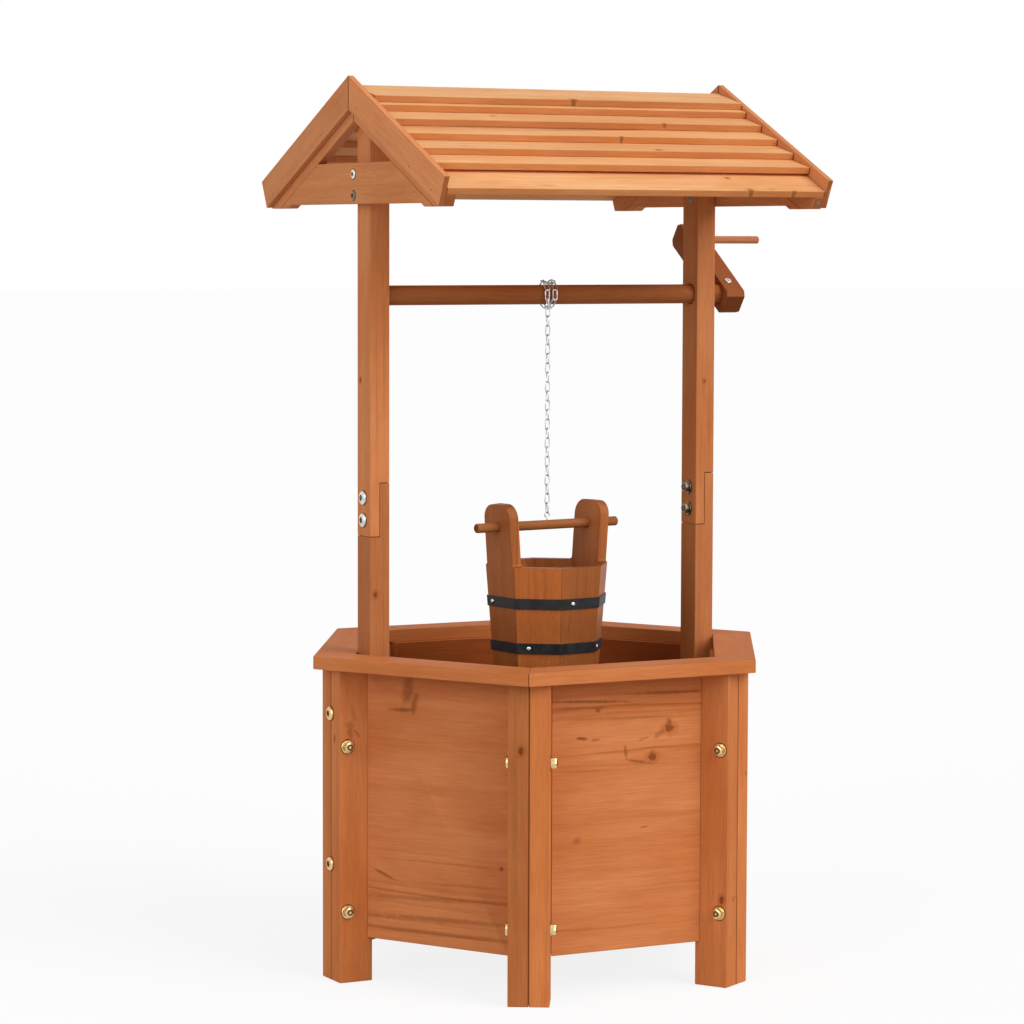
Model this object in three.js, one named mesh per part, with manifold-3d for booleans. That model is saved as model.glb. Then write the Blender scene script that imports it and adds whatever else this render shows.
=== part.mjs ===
// Wishing well planter in stained fir: a six-sided planting box on strip legs,
// two spliced posts, a clapboard roof, and a windlass with a bucket on a chain.
// Millimetres, +Z up, origin on the ground below the middle of the whole object.
// X runs along the ridge and the windlass, with the crank at +X; -Y is the front.
// The parts are drawn about the middle of the planting box and shifted at the end.

import * as THREE from 'three';
import { mergeVertices } from 'three/addons/utils/BufferGeometryUtils.js';
import Module from 'manifold-3d';

const wasm = await Module();
wasm.setup();

// Clearances
const seatGap = 0.3;
const runningGap = 0.5;
const cutOverrun = 5;

// Planting box
const sideCount = 6;
const legReach = 218;
const legDepth = 33.3;
const stripThickness = 19;
const panelInset = 14.8;
const panelThickness = 10;
const panelBottom = 41;
const rimOverhang = 18;
const rimTop = 305;
const rimThickness = 12;
const floorThickness = 8;

// Posts
const postDepth = 20;
const postWidth = 28;
const lapBottom = 414.5;
const lapLength = 50;

// Roof
const ridgeHeight = 840;
const roofWidth = 400;
const roofDrop = 95;
const bargeThickness = 5;
const bargeWidth = 28;
const bargeReveal = 17.5;
const rafterThickness = 10;
const rafterWidth = 20;
const tieTopDrop = 80;
const tieBottomDrop = 121;
const tieReliefHeight = 3.3;
const tieReliefRun = 7;
const tieFootLength = 18.8;
const slatCount = 7;
const slatWidth = 46;
const slatThickness = 6;
const ridgeSetback = 17;
const slatEndGap = 0.8;

// Windlass
const rodRadius = 9.25;
const rodDrop = 202;
const rodSides = 24;
const leftBoreDepth = 12;
const armLength = 120;
const armWidth = 26;
const armThickness = 20;
const armChamfer = 4;
const armTilt = THREE.MathUtils.degToRad(35.5);
const armBoreInset = 17.5;
const armBoreDepth = 14;
const pegInset = 12.5;
const pegRadius = 3.75;
const pegReach = 70;
const pegSocketDepth = 12;
const pegSides = 12;

// Chain
const linkLength = 11.35;
const linkWidth = 5.4;
const wireRadius = 0.65;
const linkBite = 0.25;
const linkBends = 10;
const linkSides = 5;
const chainX = 1.5;
const woundLinkCount = 15;
const turnPitch = 7;
const hangingLinkCount = 23;
const eyeRadius = 2.4;
const eyeShank = 1.8;

// Bucket
const bucketHeight = 96;
const bucketRimApothem = 55;
const bucketBaseApothem = 47.8;
const staveCount = 8;
const staveThickness = 10;
const bucketFloorInset = 6;
const bucketFloorThickness = 7;
const bucketTurn = THREE.MathUtils.degToRad(8.5);
const earRise = 58;
const earWidth = 41;
const earCornerRadius = 14;
const earRoot = 20;
const cornerSteps = 5;
const hoopWidth = 10;
const hoopThickness = 1;
const lowerHoopHeight = 19.4;
const upperHoopHeight = 61.7;
const dowelRadius = 4.5;
const dowelLength = 165;
const dowelDrop = 21.4;
const dowelSides = 16;

// Sizes that follow from those above
const cornerAngle = Math.PI / sideCount;
const legInner = legReach - legDepth;
const postOuter = legInner - seatGap;
const postCentre = postOuter - postDepth / 2;
const panelApothem = legReach * Math.cos(cornerAngle) - panelInset;
const panelTop = rimTop - rimThickness - seatGap;
const rimReach = legReach + rimOverhang;
const rimApothem = rimReach * Math.cos(cornerAngle);
const rimInnerApothem = postOuter * Math.cos(cornerAngle)
  + (postWidth / 2) * Math.sin(cornerAngle) + seatGap;
const floorTop = panelBottom + floorThickness;
const lapTop = lapBottom + lapLength;
const tieTop = ridgeHeight - tieTopDrop;
const tieBottom = ridgeHeight - tieBottomDrop;
const rodHeight = ridgeHeight - rodDrop;
const roofAngle = Math.atan2(roofDrop, roofWidth / 2);
const slopeLength = Math.hypot(roofDrop, roofWidth / 2);
const slatPitch = (slopeLength - slatWidth - ridgeSetback) / (slatCount - 2);
const rafterInner = postOuter + seatGap;
const rafterOuter = rafterInner + rafterThickness;
const bargeInner = rafterOuter + seatGap;
const windRadius = rodRadius + linkWidth / 2 + seatGap;
const linkPitch = linkLength - 4 * wireRadius + linkBite;
const linkStepAngle = 2 * Math.atan2(linkPitch / 2, windRadius);
const chainY = -windRadius / Math.cos(linkStepAngle / 2);
const dowelAboveBase = bucketHeight + earRise - dowelDrop;
const bucketTaper = (bucketRimApothem - bucketBaseApothem) / bucketHeight;

const paint = (color, roughness, metalness = 0) => (
  new THREE.MeshStandardMaterial({ color, roughness, metalness })
);
const firPanel = paint(0xb8683a, 0.6);
const firFrame = paint(0xc0703f, 0.6);
const firRoof = paint(0xd98d58, 0.6);
const firBucket = paint(0xa8602f, 0.6);
const blackSteel = paint(0x1d2024, 0.45, 0.6);
const brightSteel = paint(0xc6c8ca, 0.3, 1);

const mesh = (name, geometry, material) => {
  const part = new THREE.Mesh(geometry, material);
  part.name = name;
  return part;
};

const group = (...children) => new THREE.Group().add(...children);

// Solid geometry helpers

const weld = (geometry) => {
  const bare = geometry.clone();
  bare.deleteAttribute('normal');
  bare.deleteAttribute('uv');
  return mergeVertices(bare);
};

const solid = (geometry) => {
  const welded = weld(geometry);
  return new wasm.Manifold(new wasm.Mesh({
    numProp: 3,
    vertProperties: new Float32Array(welded.attributes.position.array),
    triVerts: new Uint32Array(welded.index.array),
  }));
};

const geometryOf = (body) => {
  const { vertProperties, triVerts } = body.getMesh();
  const geometry = new THREE.BufferGeometry();
  geometry.setAttribute('position', new THREE.BufferAttribute(vertProperties, 3));
  geometry.setIndex(new THREE.BufferAttribute(triVerts, 1));
  geometry.computeVertexNormals();
  return geometry;
};

const cut = (geometry, ...tools) => (
  geometryOf(tools.reduce((body, tool) => body.subtract(solid(tool)), solid(geometry)))
);

const join = (...geometries) => (
  geometryOf(geometries.map(solid).reduce((body, next) => body.add(next)))
);

const outline = (points) => new THREE.Shape(points.map(([x, y]) => new THREE.Vector2(x, y)));

const extrude = (shape, depth) => new THREE.ExtrudeGeometry(shape, {
  depth,
  bevelEnabled: false,
  curveSegments: cornerSteps,
});

// A prism whose outline lies in Y and Z and which runs from one X to another
const prismX = (shape, from, to) => (
  extrude(shape, to - from).rotateY(Math.PI / 2).rotateX(Math.PI / 2).translate(from, 0, 0)
);

// A prism whose outline lies in X and Z, centred on Y
const prismY = (shape, width) => (
  extrude(shape, width).rotateX(Math.PI / 2).translate(0, width / 2, 0)
);

const prismZ = (shape, from, to) => extrude(shape, to - from).translate(0, 0, from);

const rodX = (radius, from, to, sides) => (
  new THREE.CylinderGeometry(radius, radius, to - from, sides)
    .rotateZ(-Math.PI / 2)
    .translate((from + to) / 2, 0, 0)
);

const mirrored = (half) => half.map(([y, z]) => [-y, z]).reverse();

// Planting box: each side is drawn facing +X and then turned to its place

// Distance from the middle of a side to a plane that lies beside the corner's
// centre plane by the given offset, on the face at the given apothem
const sideReach = (apothem, offset) => (
  ((apothem - offset * Math.sin(cornerAngle)) / Math.cos(cornerAngle)) * Math.sin(cornerAngle)
  - offset * Math.cos(cornerAngle)
);

const sideBoard = (outer, inner, endOffset, bottom, top) => {
  const outerReach = sideReach(outer, endOffset);
  const innerReach = sideReach(inner, endOffset);
  return prismZ(outline([
    [inner, -innerReach],
    [outer, -outerReach],
    [outer, outerReach],
    [inner, innerReach],
  ]), bottom, top);
};

const legStrip = (end) => {
  const corners = [
    [legInner, seatGap / 2],
    [legReach, seatGap / 2],
    [legReach, stripThickness],
    [legInner, stripThickness],
  ];
  return prismZ(outline(corners.map(([radius, offset]) => [
    radius * Math.cos(cornerAngle) + offset * Math.sin(cornerAngle),
    end * (radius * Math.sin(cornerAngle) - offset * Math.cos(cornerAngle)),
  ])), 0, panelTop);
};

const boxSide = (name, index) => {
  const side = group(
    mesh(`panel_${name}`, sideBoard(
      panelApothem,
      panelApothem - panelThickness,
      stripThickness + seatGap,
      panelBottom,
      panelTop,
    ), firPanel),
    mesh(`rim_${name}`, sideBoard(
      rimApothem,
      rimInnerApothem,
      seatGap / 2,
      rimTop - rimThickness,
      rimTop,
    ), firFrame),
    mesh(`leg_strip_${name}_1`, legStrip(-1), firFrame),
    mesh(`leg_strip_${name}_2`, legStrip(1), firFrame),
  );
  side.rotation.z = (2 * index + 1) * cornerAngle;
  return side;
};

const boxFloor = () => {
  const apothem = panelApothem - panelThickness - seatGap;
  const cornerCut = legInner - seatGap;
  const halfCut = (apothem - cornerCut * Math.cos(cornerAngle)) / Math.sin(cornerAngle);
  const corners = [];
  for (let corner = 0; corner < sideCount; corner += 1) {
    const angle = 2 * corner * cornerAngle;
    for (const offset of [-halfCut, halfCut]) {
      corners.push([
        cornerCut * Math.cos(angle) - offset * Math.sin(angle),
        cornerCut * Math.sin(angle) + offset * Math.cos(angle),
      ]);
    }
  }
  return prismZ(outline(corners), panelBottom, floorTop);
};

const sideNames = ['right_rear', 'rear', 'left_rear', 'left_front', 'front', 'right_front'];
const plantingBox = group(
  ...sideNames.map(boxSide),
  mesh('box_floor', boxFloor(), firPanel),
);

// Roof outlines: distances down the slope from the ridge, and heights off the
// slope's top edge, turned into Y and Z

const onSlope = (distance, height) => [
  distance * Math.cos(roofAngle) + height * Math.sin(roofAngle),
  ridgeHeight - distance * Math.sin(roofAngle) + height * Math.cos(roofAngle),
];

// Height of a line that runs below the barge board's top edge, at a given Y
const slopeLineAt = (depth, y) => (
  ridgeHeight - depth / Math.cos(roofAngle) - y * Math.tan(roofAngle)
);

const slopeLineReach = (depth, z) => (
  (ridgeHeight - depth / Math.cos(roofAngle) - z) / Math.tan(roofAngle)
);

const rafterBottomDepth = bargeReveal + rafterWidth;

const bargeBoard = () => {
  const mitre = seatGap / 2;
  return prismX(outline([
    [mitre, slopeLineAt(bargeWidth, mitre)],
    onSlope(slopeLength, -bargeWidth),
    onSlope(slopeLength, 0),
    [mitre, slopeLineAt(0, mitre)],
  ]), bargeInner, bargeInner + bargeThickness);
};

const rafterPair = () => {
  const [endTopY, endTopZ] = onSlope(slopeLength, -bargeReveal);
  const footReach = endTopY - (endTopZ - tieBottom) * Math.tan(roofAngle);
  const half = [
    [0, slopeLineAt(bargeReveal, 0)],
    [endTopY, endTopZ],
    [footReach, tieBottom],
    [slopeLineReach(rafterBottomDepth, tieBottom), tieBottom],
    [0, slopeLineAt(rafterBottomDepth, 0)],
  ];
  return prismX(outline([...half, ...mirrored(half.slice(1, -1))]), rafterInner, rafterOuter);
};

const tieBeam = () => {
  const depth = rafterBottomDepth + seatGap;
  const footEnd = slopeLineReach(depth, tieBottom);
  const footStart = footEnd - tieFootLength;
  const half = [
    [slopeLineReach(depth, tieTop), tieTop],
    [footEnd, tieBottom],
    [footStart, tieBottom],
    [footStart - tieReliefRun, tieBottom + tieReliefHeight],
  ];
  return prismX(outline([...half, ...mirrored(half)]), rafterInner, rafterOuter);
};

// The eave slat lies flat on the rafters. Each slat above it leans on the one
// below, and the ridge slat lies on its neighbour up to the ridge.
const slatLean = Math.asin((slatThickness + seatGap) / slatPitch);

const slatCorner = (index) => {
  if (index < slatCount - 1) {
    const upperEdge = slopeLength - slatWidth - index * slatPitch;
    return onSlope(upperEdge, seatGap - bargeReveal);
  }
  const [y, z] = slatCorner(index - 1);
  const pitchAngle = roofAngle - slatLean;
  const lift = (slatThickness + seatGap) / Math.cos(pitchAngle);
  return [seatGap / 2, z + lift + (y - seatGap / 2) * Math.tan(pitchAngle)];
};

const slat = (index) => {
  const angle = index === 0 ? roofAngle : roofAngle - slatLean;
  const [y, z] = slatCorner(index);
  const along = [Math.cos(angle), -Math.sin(angle)];
  const across = [Math.sin(angle), Math.cos(angle)];
  const corner = (run, rise) => [
    y + run * along[0] + rise * across[0],
    z + run * along[1] + rise * across[1],
  ];
  const end = bargeInner - slatEndGap;
  return prismX(outline([
    corner(0, 0),
    corner(slatWidth, 0),
    corner(slatWidth, slatThickness),
    corner(0, slatThickness),
  ]), -end, end);
};

const gable = (name) => {
  const rearBarge = mesh(`barge_board_${name}_1`, bargeBoard(), firRoof);
  const frontBarge = mesh(
    `barge_board_${name}_2`,
    bargeBoard().rotateZ(Math.PI).translate(2 * bargeInner + bargeThickness, 0, 0),
    firRoof,
  );
  return group(
    rearBarge,
    frontBarge,
    mesh(`rafter_pair_${name}`, rafterPair(), firRoof),
    mesh(`tie_beam_${name}`, tieBeam(), firRoof),
  );
};

const slope = (name) => group(
  ...Array.from({ length: slatCount }, (_, index) => (
    mesh(`roof_slat_${name}_${index + 1}`, slat(index), firRoof)
  )),
);

const rightGable = gable('right');
const leftGable = gable('left');
leftGable.rotation.z = Math.PI;
const rearSlope = slope('rear');
const frontSlope = slope('front');
frontSlope.rotation.z = Math.PI;
const roof = group(rightGable, leftGable, rearSlope, frontSlope);

// Posts, each in two lengths joined by a half lap

const lowerPost = () => prismY(outline([
  [-postDepth / 2, floorTop + seatGap],
  [postDepth / 2, floorTop + seatGap],
  [postDepth / 2, lapTop],
  [seatGap / 2, lapTop],
  [seatGap / 2, lapBottom],
  [-postDepth / 2, lapBottom],
]), postWidth);

const upperPost = (boreFrom, boreTo) => {
  const top = slopeLineAt(bargeReveal, postWidth / 2);
  const blank = prismY(outline([
    [-postDepth / 2, lapBottom + seatGap],
    [-seatGap / 2, lapBottom + seatGap],
    [-seatGap / 2, lapTop + seatGap],
    [postDepth / 2, lapTop + seatGap],
    [postDepth / 2, top],
    [-postDepth / 2, top],
  ]), postWidth);
  const bore = rodX(rodRadius + runningGap, boreFrom, boreTo, rodSides);
  return cut(blank, bore.translate(0, 0, rodHeight));
};

const postPair = (name, place, boreFrom, boreTo) => {
  const pair = group(
    mesh(`post_lower_${name}`, lowerPost(), firFrame),
    mesh(`post_upper_${name}`, upperPost(boreFrom, boreTo), firFrame),
  );
  pair.position.x = place;
  return pair;
};

const posts = group(
  postPair('left', -postCentre, postDepth / 2 - leftBoreDepth, postDepth / 2 + cutOverrun),
  postPair('right', postCentre, -postDepth / 2 - cutOverrun, postDepth / 2 + cutOverrun),
);

// Windlass: rod, crank arm and peg turn about the rod's axis, and the arm passes
// just outside the tie beam and the rafters

const armInner = rafterOuter + runningGap;
const armOuter = armInner + armThickness;
const pegSpot = armLength - armBoreInset - pegInset;

const crankArm = () => {
  const low = -armBoreInset;
  const high = armLength - armBoreInset;
  const half = armWidth / 2;
  const blank = prismX(outline([
    [low + armChamfer, -half],
    [high - armChamfer, -half],
    [high, -half + armChamfer],
    [high, half - armChamfer],
    [high - armChamfer, half],
    [low + armChamfer, half],
    [low, half - armChamfer],
    [low, -half + armChamfer],
  ]), armInner, armOuter);
  const rodSocket = rodX(rodRadius + seatGap, armInner - cutOverrun, armInner + armBoreDepth, rodSides);
  const pegSocket = rodX(pegRadius + seatGap, armOuter - pegSocketDepth, armOuter + cutOverrun, pegSides);
  return cut(blank, rodSocket, pegSocket.translate(0, pegSpot, 0));
};

const rod = rodX(
  rodRadius,
  -postOuter + postDepth - leftBoreDepth + seatGap,
  armInner + armBoreDepth - seatGap,
  rodSides,
);
const peg = rodX(pegRadius, armOuter - pegSocketDepth + seatGap, armOuter + pegReach, pegSides);
const crank = group(
  mesh('crank_arm', crankArm(), firFrame),
  mesh('crank_peg', peg.translate(0, pegSpot, 0), firFrame),
);
crank.rotation.x = armTilt;
crank.position.z = rodHeight;

// Chain links: a ring whose two halves are drawn apart into a long link

const linkGeometry = () => {
  const ring = new THREE.TorusGeometry(linkWidth / 2 - wireRadius, wireRadius, linkSides, linkBends)
    .rotateZ(Math.PI / 2 - Math.PI / linkBends);
  const places = ring.attributes.position;
  for (let index = 0; index < places.count; index += 1) {
    const x = places.getX(index);
    places.setX(index, x + Math.sign(x) * (linkLength - linkWidth) / 2);
  }
  return ring;
};

// The winding starts at the front of the rod, where the chain leaves it, and
// climbs over the top towards the crank
const woundLinks = () => {
  const acrossRod = new THREE.Vector3(1, 0, 0);
  const links = [];
  for (let index = 0; index < woundLinkCount; index += 1) {
    const turned = (index + 1 / 2) * linkStepAngle;
    const angle = Math.PI - turned;
    const tangent = new THREE.Vector3(0, -Math.sin(angle), Math.cos(angle));
    const outward = new THREE.Vector3(0, Math.cos(angle), Math.sin(angle));
    const place = new THREE.Matrix4()
      .makeBasis(tangent, acrossRod, outward)
      .setPosition(
        chainX + (turned / (2 * Math.PI)) * turnPitch,
        windRadius * Math.cos(angle),
        rodHeight + windRadius * Math.sin(angle),
      );
    links.push(linkGeometry().rotateX((index % 2) * (Math.PI / 2)).applyMatrix4(place));
  }
  return links;
};

// Turns of the winding lie side by side: the least distance between the points
// of links that are more than two apart
const leastTurnGap = (links) => {
  const clouds = links.map((link) => {
    const places = link.attributes.position;
    return Array.from({ length: places.count }, (_, index) => (
      new THREE.Vector3().fromBufferAttribute(places, index)
    ));
  });
  let least = Infinity;
  clouds.forEach((cloud, index) => {
    for (const other of clouds.slice(index + 3)) {
      for (const point of cloud) {
        for (const far of other) least = Math.min(least, point.distanceTo(far));
      }
    }
  });
  return least;
};

const firstLinkHeight = rodHeight - (linkLength - 4 * wireRadius - seatGap - linkPitch / 2);
const lastLinkHeight = firstLinkHeight - (hangingLinkCount - 1) * linkPitch;
const eyeHeight = lastLinkHeight - linkLength / 2 + 3 * wireRadius - linkBite - eyeRadius;
const eyeBottom = eyeHeight - eyeRadius - wireRadius - eyeShank;
const dowelHeight = eyeBottom - seatGap - dowelRadius;
const bucketBottom = dowelHeight - dowelAboveBase;

const screwEye = () => {
  const ring = new THREE.TorusGeometry(eyeRadius, wireRadius, linkSides, linkBends)
    .rotateX(Math.PI / 2)
    .translate(0, 0, eyeHeight);
  const shankLength = eyeShank + wireRadius;
  const shank = new THREE.CylinderGeometry(wireRadius, wireRadius, shankLength, 2 * linkSides)
    .rotateX(Math.PI / 2)
    .translate(0, 0, eyeBottom + shankLength / 2);
  return [ring, shank];
};

const hangingChain = () => {
  const links = [];
  for (let index = 0; index < hangingLinkCount; index += 1) {
    links.push(linkGeometry()
      .rotateX((index % 2) * (Math.PI / 2))
      .rotateY(Math.PI / 2)
      .translate(0, 0, firstLinkHeight - index * linkPitch));
  }
  return join(...links, ...screwEye()).translate(chainX, chainY, 0);
};

const winding = woundLinks();
console.log(`least gap between turns of the chain: ${leastTurnGap(winding).toFixed(2)} mm`);

const windlass = group(
  mesh('windlass_rod', rod.translate(0, 0, rodHeight), firFrame),
  crank,
  mesh('chain_winding', join(...winding), brightSteel),
);
const hanging = mesh('hanging_chain', hangingChain(), brightSteel);

// Bucket: flat staves make an eight-sided tub, drawn from its own base upward

const apothemAt = (height) => bucketBaseApothem + height * bucketTaper;

const tubTurn = (profile) => (
  new THREE.LatheGeometry(
    profile.map(([apothem, height]) => (
      new THREE.Vector2(apothem / Math.cos(Math.PI / staveCount), height)
    )),
    staveCount,
    Math.PI / staveCount,
  ).rotateX(Math.PI / 2)
);

const tubBody = () => {
  const floorTopHeight = bucketFloorInset + bucketFloorThickness;
  const inside = (height) => apothemAt(height) - staveThickness;
  return tubTurn([
    [0, bucketFloorInset],
    [inside(bucketFloorInset), bucketFloorInset],
    [inside(0), 0],
    [apothemAt(0), 0],
    [apothemAt(bucketHeight), bucketHeight],
    [inside(bucketHeight), bucketHeight],
    [inside(floorTopHeight), floorTopHeight],
    [0, floorTopHeight],
  ]);
};

// An ear stave narrows at the rim in a small cove and ends in round corners
const ear = () => {
  const tilt = Math.atan(bucketTaper);
  const rimRun = bucketHeight / Math.cos(tilt);
  const top = (bucketHeight + earRise) / Math.cos(tilt);
  const half = earWidth / 2;
  const cove = apothemAt(bucketHeight) * Math.tan(Math.PI / staveCount) - half;
  const root = half - cove;
  const shape = new THREE.Shape();
  shape.moveTo(-root, rimRun - earRoot);
  shape.lineTo(root, rimRun - earRoot);
  shape.lineTo(half + cove, rimRun);
  shape.absarc(half + cove, rimRun + cove, cove, -Math.PI / 2, -Math.PI, true);
  shape.absarc(half - earCornerRadius, top - earCornerRadius, earCornerRadius, 0, Math.PI / 2);
  shape.absarc(earCornerRadius - half, top - earCornerRadius, earCornerRadius, Math.PI / 2, Math.PI);
  shape.absarc(-half - cove, rimRun + cove, cove, 0, -Math.PI / 2, true);
  return prismX(shape, -staveThickness, 0).rotateY(tilt).translate(bucketBaseApothem, 0, 0);
};

const tub = () => {
  const halfLength = dowelLength / 2 + cutOverrun;
  const bore = rodX(dowelRadius + seatGap, -halfLength, halfLength, dowelSides)
    .translate(0, 0, dowelAboveBase);
  return cut(join(tubBody(), ear(), ear().rotateZ(Math.PI)), bore);
};

const hoop = (centre) => {
  const low = centre - hoopWidth / 2;
  const high = centre + hoopWidth / 2;
  const inner = (height) => apothemAt(height) + seatGap;
  const outer = (height) => inner(height) + hoopThickness;
  return tubTurn([
    [inner(low), low],
    [outer(low), low],
    [outer(high), high],
    [inner(high), high],
    [inner(low), low],
  ]);
};

const bucketDowel = rodX(dowelRadius, -dowelLength / 2, dowelLength / 2, dowelSides)
  .translate(0, 0, dowelAboveBase);

const bucket = group(
  mesh('bucket_tub', tub(), firBucket),
  mesh('bucket_hoop_lower', hoop(lowerHoopHeight), blackSteel),
  mesh('bucket_hoop_upper', hoop(upperHoopHeight), blackSteel),
  mesh('bucket_dowel', bucketDowel, firBucket),
);
bucket.position.set(chainX, chainY, bucketBottom);
bucket.rotation.z = bucketTurn;

const rimTip = rimReach - (seatGap / 2) * Math.tan(cornerAngle);
const pegTip = armOuter + pegReach;
const wishingWell = group(plantingBox, roof, posts, windlass, hanging, bucket);
wishingWell.position.x = (rimTip - pegTip) / 2;

export default wishingWell;
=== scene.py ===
"""Dresses the packed wishing well planter: stained fir boards, a coopered bucket on
a link chain, brass and zinc fasteners, and a plain studio stage."""

import math

import bmesh
import bpy
from bpy.props import FloatProperty, FloatVectorProperty, IntProperty, PointerProperty
from mathutils import Matrix, Vector


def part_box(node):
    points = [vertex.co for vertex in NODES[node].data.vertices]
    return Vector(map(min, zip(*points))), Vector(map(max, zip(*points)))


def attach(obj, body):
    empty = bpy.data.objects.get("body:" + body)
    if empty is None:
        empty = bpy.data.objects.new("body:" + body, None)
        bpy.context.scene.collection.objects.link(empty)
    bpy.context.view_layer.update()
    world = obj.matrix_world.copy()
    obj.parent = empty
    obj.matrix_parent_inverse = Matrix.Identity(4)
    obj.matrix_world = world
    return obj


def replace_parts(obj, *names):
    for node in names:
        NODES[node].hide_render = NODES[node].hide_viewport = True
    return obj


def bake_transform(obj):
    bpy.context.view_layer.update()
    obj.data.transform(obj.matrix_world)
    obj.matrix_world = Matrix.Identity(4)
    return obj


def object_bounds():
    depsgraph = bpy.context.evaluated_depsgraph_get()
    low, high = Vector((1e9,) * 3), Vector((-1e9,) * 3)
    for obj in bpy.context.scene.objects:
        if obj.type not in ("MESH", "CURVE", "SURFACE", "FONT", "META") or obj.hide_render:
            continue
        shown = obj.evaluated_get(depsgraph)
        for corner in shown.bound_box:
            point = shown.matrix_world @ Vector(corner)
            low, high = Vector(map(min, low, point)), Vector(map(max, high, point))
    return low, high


bl_info = {
    "name": "Wishing Well Planter",
    "version": (1, 0, 0),
    "blender": (4, 5, 0),
    "location": "3D View > Sidebar > Well",
    "description": "Finishes, bucket, chain and fasteners of a wishing well planter",
    "category": "Object",
}

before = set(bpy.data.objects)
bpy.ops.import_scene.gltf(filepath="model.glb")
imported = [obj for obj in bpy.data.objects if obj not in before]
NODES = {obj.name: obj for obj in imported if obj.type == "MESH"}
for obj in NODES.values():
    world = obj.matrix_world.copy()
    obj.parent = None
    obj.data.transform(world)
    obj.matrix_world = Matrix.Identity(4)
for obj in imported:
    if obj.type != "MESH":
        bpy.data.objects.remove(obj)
CAD_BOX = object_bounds()
MM = 0.001
X, Y, Z = Vector((1, 0, 0)), Vector((0, 1, 0)), Vector((0, 0, 1))


def middle_of(node):
    low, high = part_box(node)
    return (low + high) / 2


WELL_X = middle_of("box_floor").x
ROD_LOW, ROD_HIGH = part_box("windlass_rod")
ROD_RADIUS = (ROD_HIGH.z - ROD_LOW.z) / 2
ROD_HEIGHT = middle_of("windlass_rod").z
CHAIN_LOW, CHAIN_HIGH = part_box("hanging_chain")
CHAIN_SPOT = middle_of("hanging_chain").xy
BUCKET_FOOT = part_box("bucket_tub")[0].z
SIDES = ("right_rear", "rear", "left_rear", "left_front", "front", "right_front")
LEG_TURN = math.radians(60)
ROOF_FALL = math.atan2(95, 200)
ARM_TILT = math.radians(35.5)
ARM_HALF_WIDTH = 13 * MM
BUCKET_TURN = math.radians(8.5)
STAVES = 8
STAVE_TURN = 2 * math.pi / STAVES
STAVE_THICKNESS = 10.0 * MM
BASE_APOTHEM = 47.8 * MM
TAPER = math.atan2(7.2, 96)


# Sizes and colours that a user may change


def colour(name, description, value):
    return FloatVectorProperty(
        name=name, description=description, default=value, size=3, subtype="COLOR", min=0, max=1
    )


def length(name, description, millimetres):
    return FloatProperty(
        name=name, description=description, default=millimetres * MM, subtype="DISTANCE",
        unit="LENGTH", min=0,
    )


def angle(name, description, degrees):
    return FloatProperty(
        name=name, description=description, default=math.radians(degrees), subtype="ANGLE",
        unit="ROTATION",
    )


def amount(name, description, value):
    return FloatProperty(name=name, description=description, default=value, min=0)


class WellStain(bpy.types.PropertyGroup):
    """Stain of the fir, by part"""

    box: colour("Box", "Panels and floor of the box", (0.575, 0.190, 0.064))
    legs: colour("Legs", "Leg strips and rim boards", (0.570, 0.184, 0.056))
    posts: colour("Posts", "Both lengths of the posts", (0.535, 0.192, 0.069))
    gables: colour("Gables", "Barge boards and rafters", (0.640, 0.238, 0.090))
    ties: colour("Ties", "Tie beams", (0.655, 0.245, 0.090))
    # Paler than the other stains: partly the wood's own tone, partly the sheen of the slats' lit
    # tops painted in
    roof: colour("Roof", "Roof slats", (0.835, 0.418, 0.184))
    windlass: colour("Windlass", "Rod and crank arm", (0.345, 0.107, 0.031))
    peg: colour("Peg", "Crank peg", (0.560, 0.230, 0.110))
    bucket: colour("Bucket", "Staves, bucket floor and dowel", (0.415, 0.127, 0.030))
    edge_round: length("Edge round", "Bevel on the boards' edges", 0.8)
    crisp_round: length("Crisp edge round", "Bevel on the barge boards' edges", 0.35)


class WellBucket(bpy.types.PropertyGroup):
    """Sizes of the bucket's staves and fasteners"""

    seam: length("Seam", "Gap between two staves", 0.25)
    edge_round: length("Edge round", "Bevel on the staves' edges", 0.7)
    nail_radius: length("Nail radius", "Radius of the hoop nails' heads", 2.1)
    steel: colour("Hoop steel", "Black paint on the hoops", (0.008, 0.008, 0.009))


class WellChain(bpy.types.PropertyGroup):
    """Sizes of the chain's links"""

    link_length: length("Link length", "Outside length of a link", 11.35)
    link_width: length("Link width", "Outside width of a link", 5.4)
    wire_radius: length("Wire radius", "Radius of the link's wire", 0.65)
    link_bite: length("Link bite", "How far neighbours press into each other", 0.25)
    turn_pitch: length("Turn pitch", "Spacing of the turns on the rod", 8.2)
    hanging: IntProperty(name="Hanging links", description="Links below the rod", default=23, min=1)
    wound: IntProperty(name="Wound links", description="Links on the rod", default=15, min=1)
    eye_radius: length("Eye radius", "Radius of the screw eye's ring", 2.4)


class WellFastener(bpy.types.PropertyGroup):
    """Sizes and colours of bolts, nuts and nails"""

    washer_radius: length("Washer radius", "Radius of the washers", 6.4)
    nut_radius: length("Nut radius", "Corner radius of the hexagon nuts", 5.2)
    nut_height: length("Nut height", "Height of the hexagon nuts", 4.4)
    bolt_radius: length("Bolt radius", "Radius of the bolts' threaded ends", 2.2)
    head_radius: length("Head radius", "Radius of the domed bolt heads", 6.4)
    brass: colour("Brass", "Brass-plated steel", (0.820, 0.590, 0.285))
    zinc: colour("Zinc", "Zinc-plated steel", (0.780, 0.770, 0.750))
    dark_zinc: colour("Dark zinc", "Dull nuts on the right post", (0.230, 0.190, 0.130))


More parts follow.
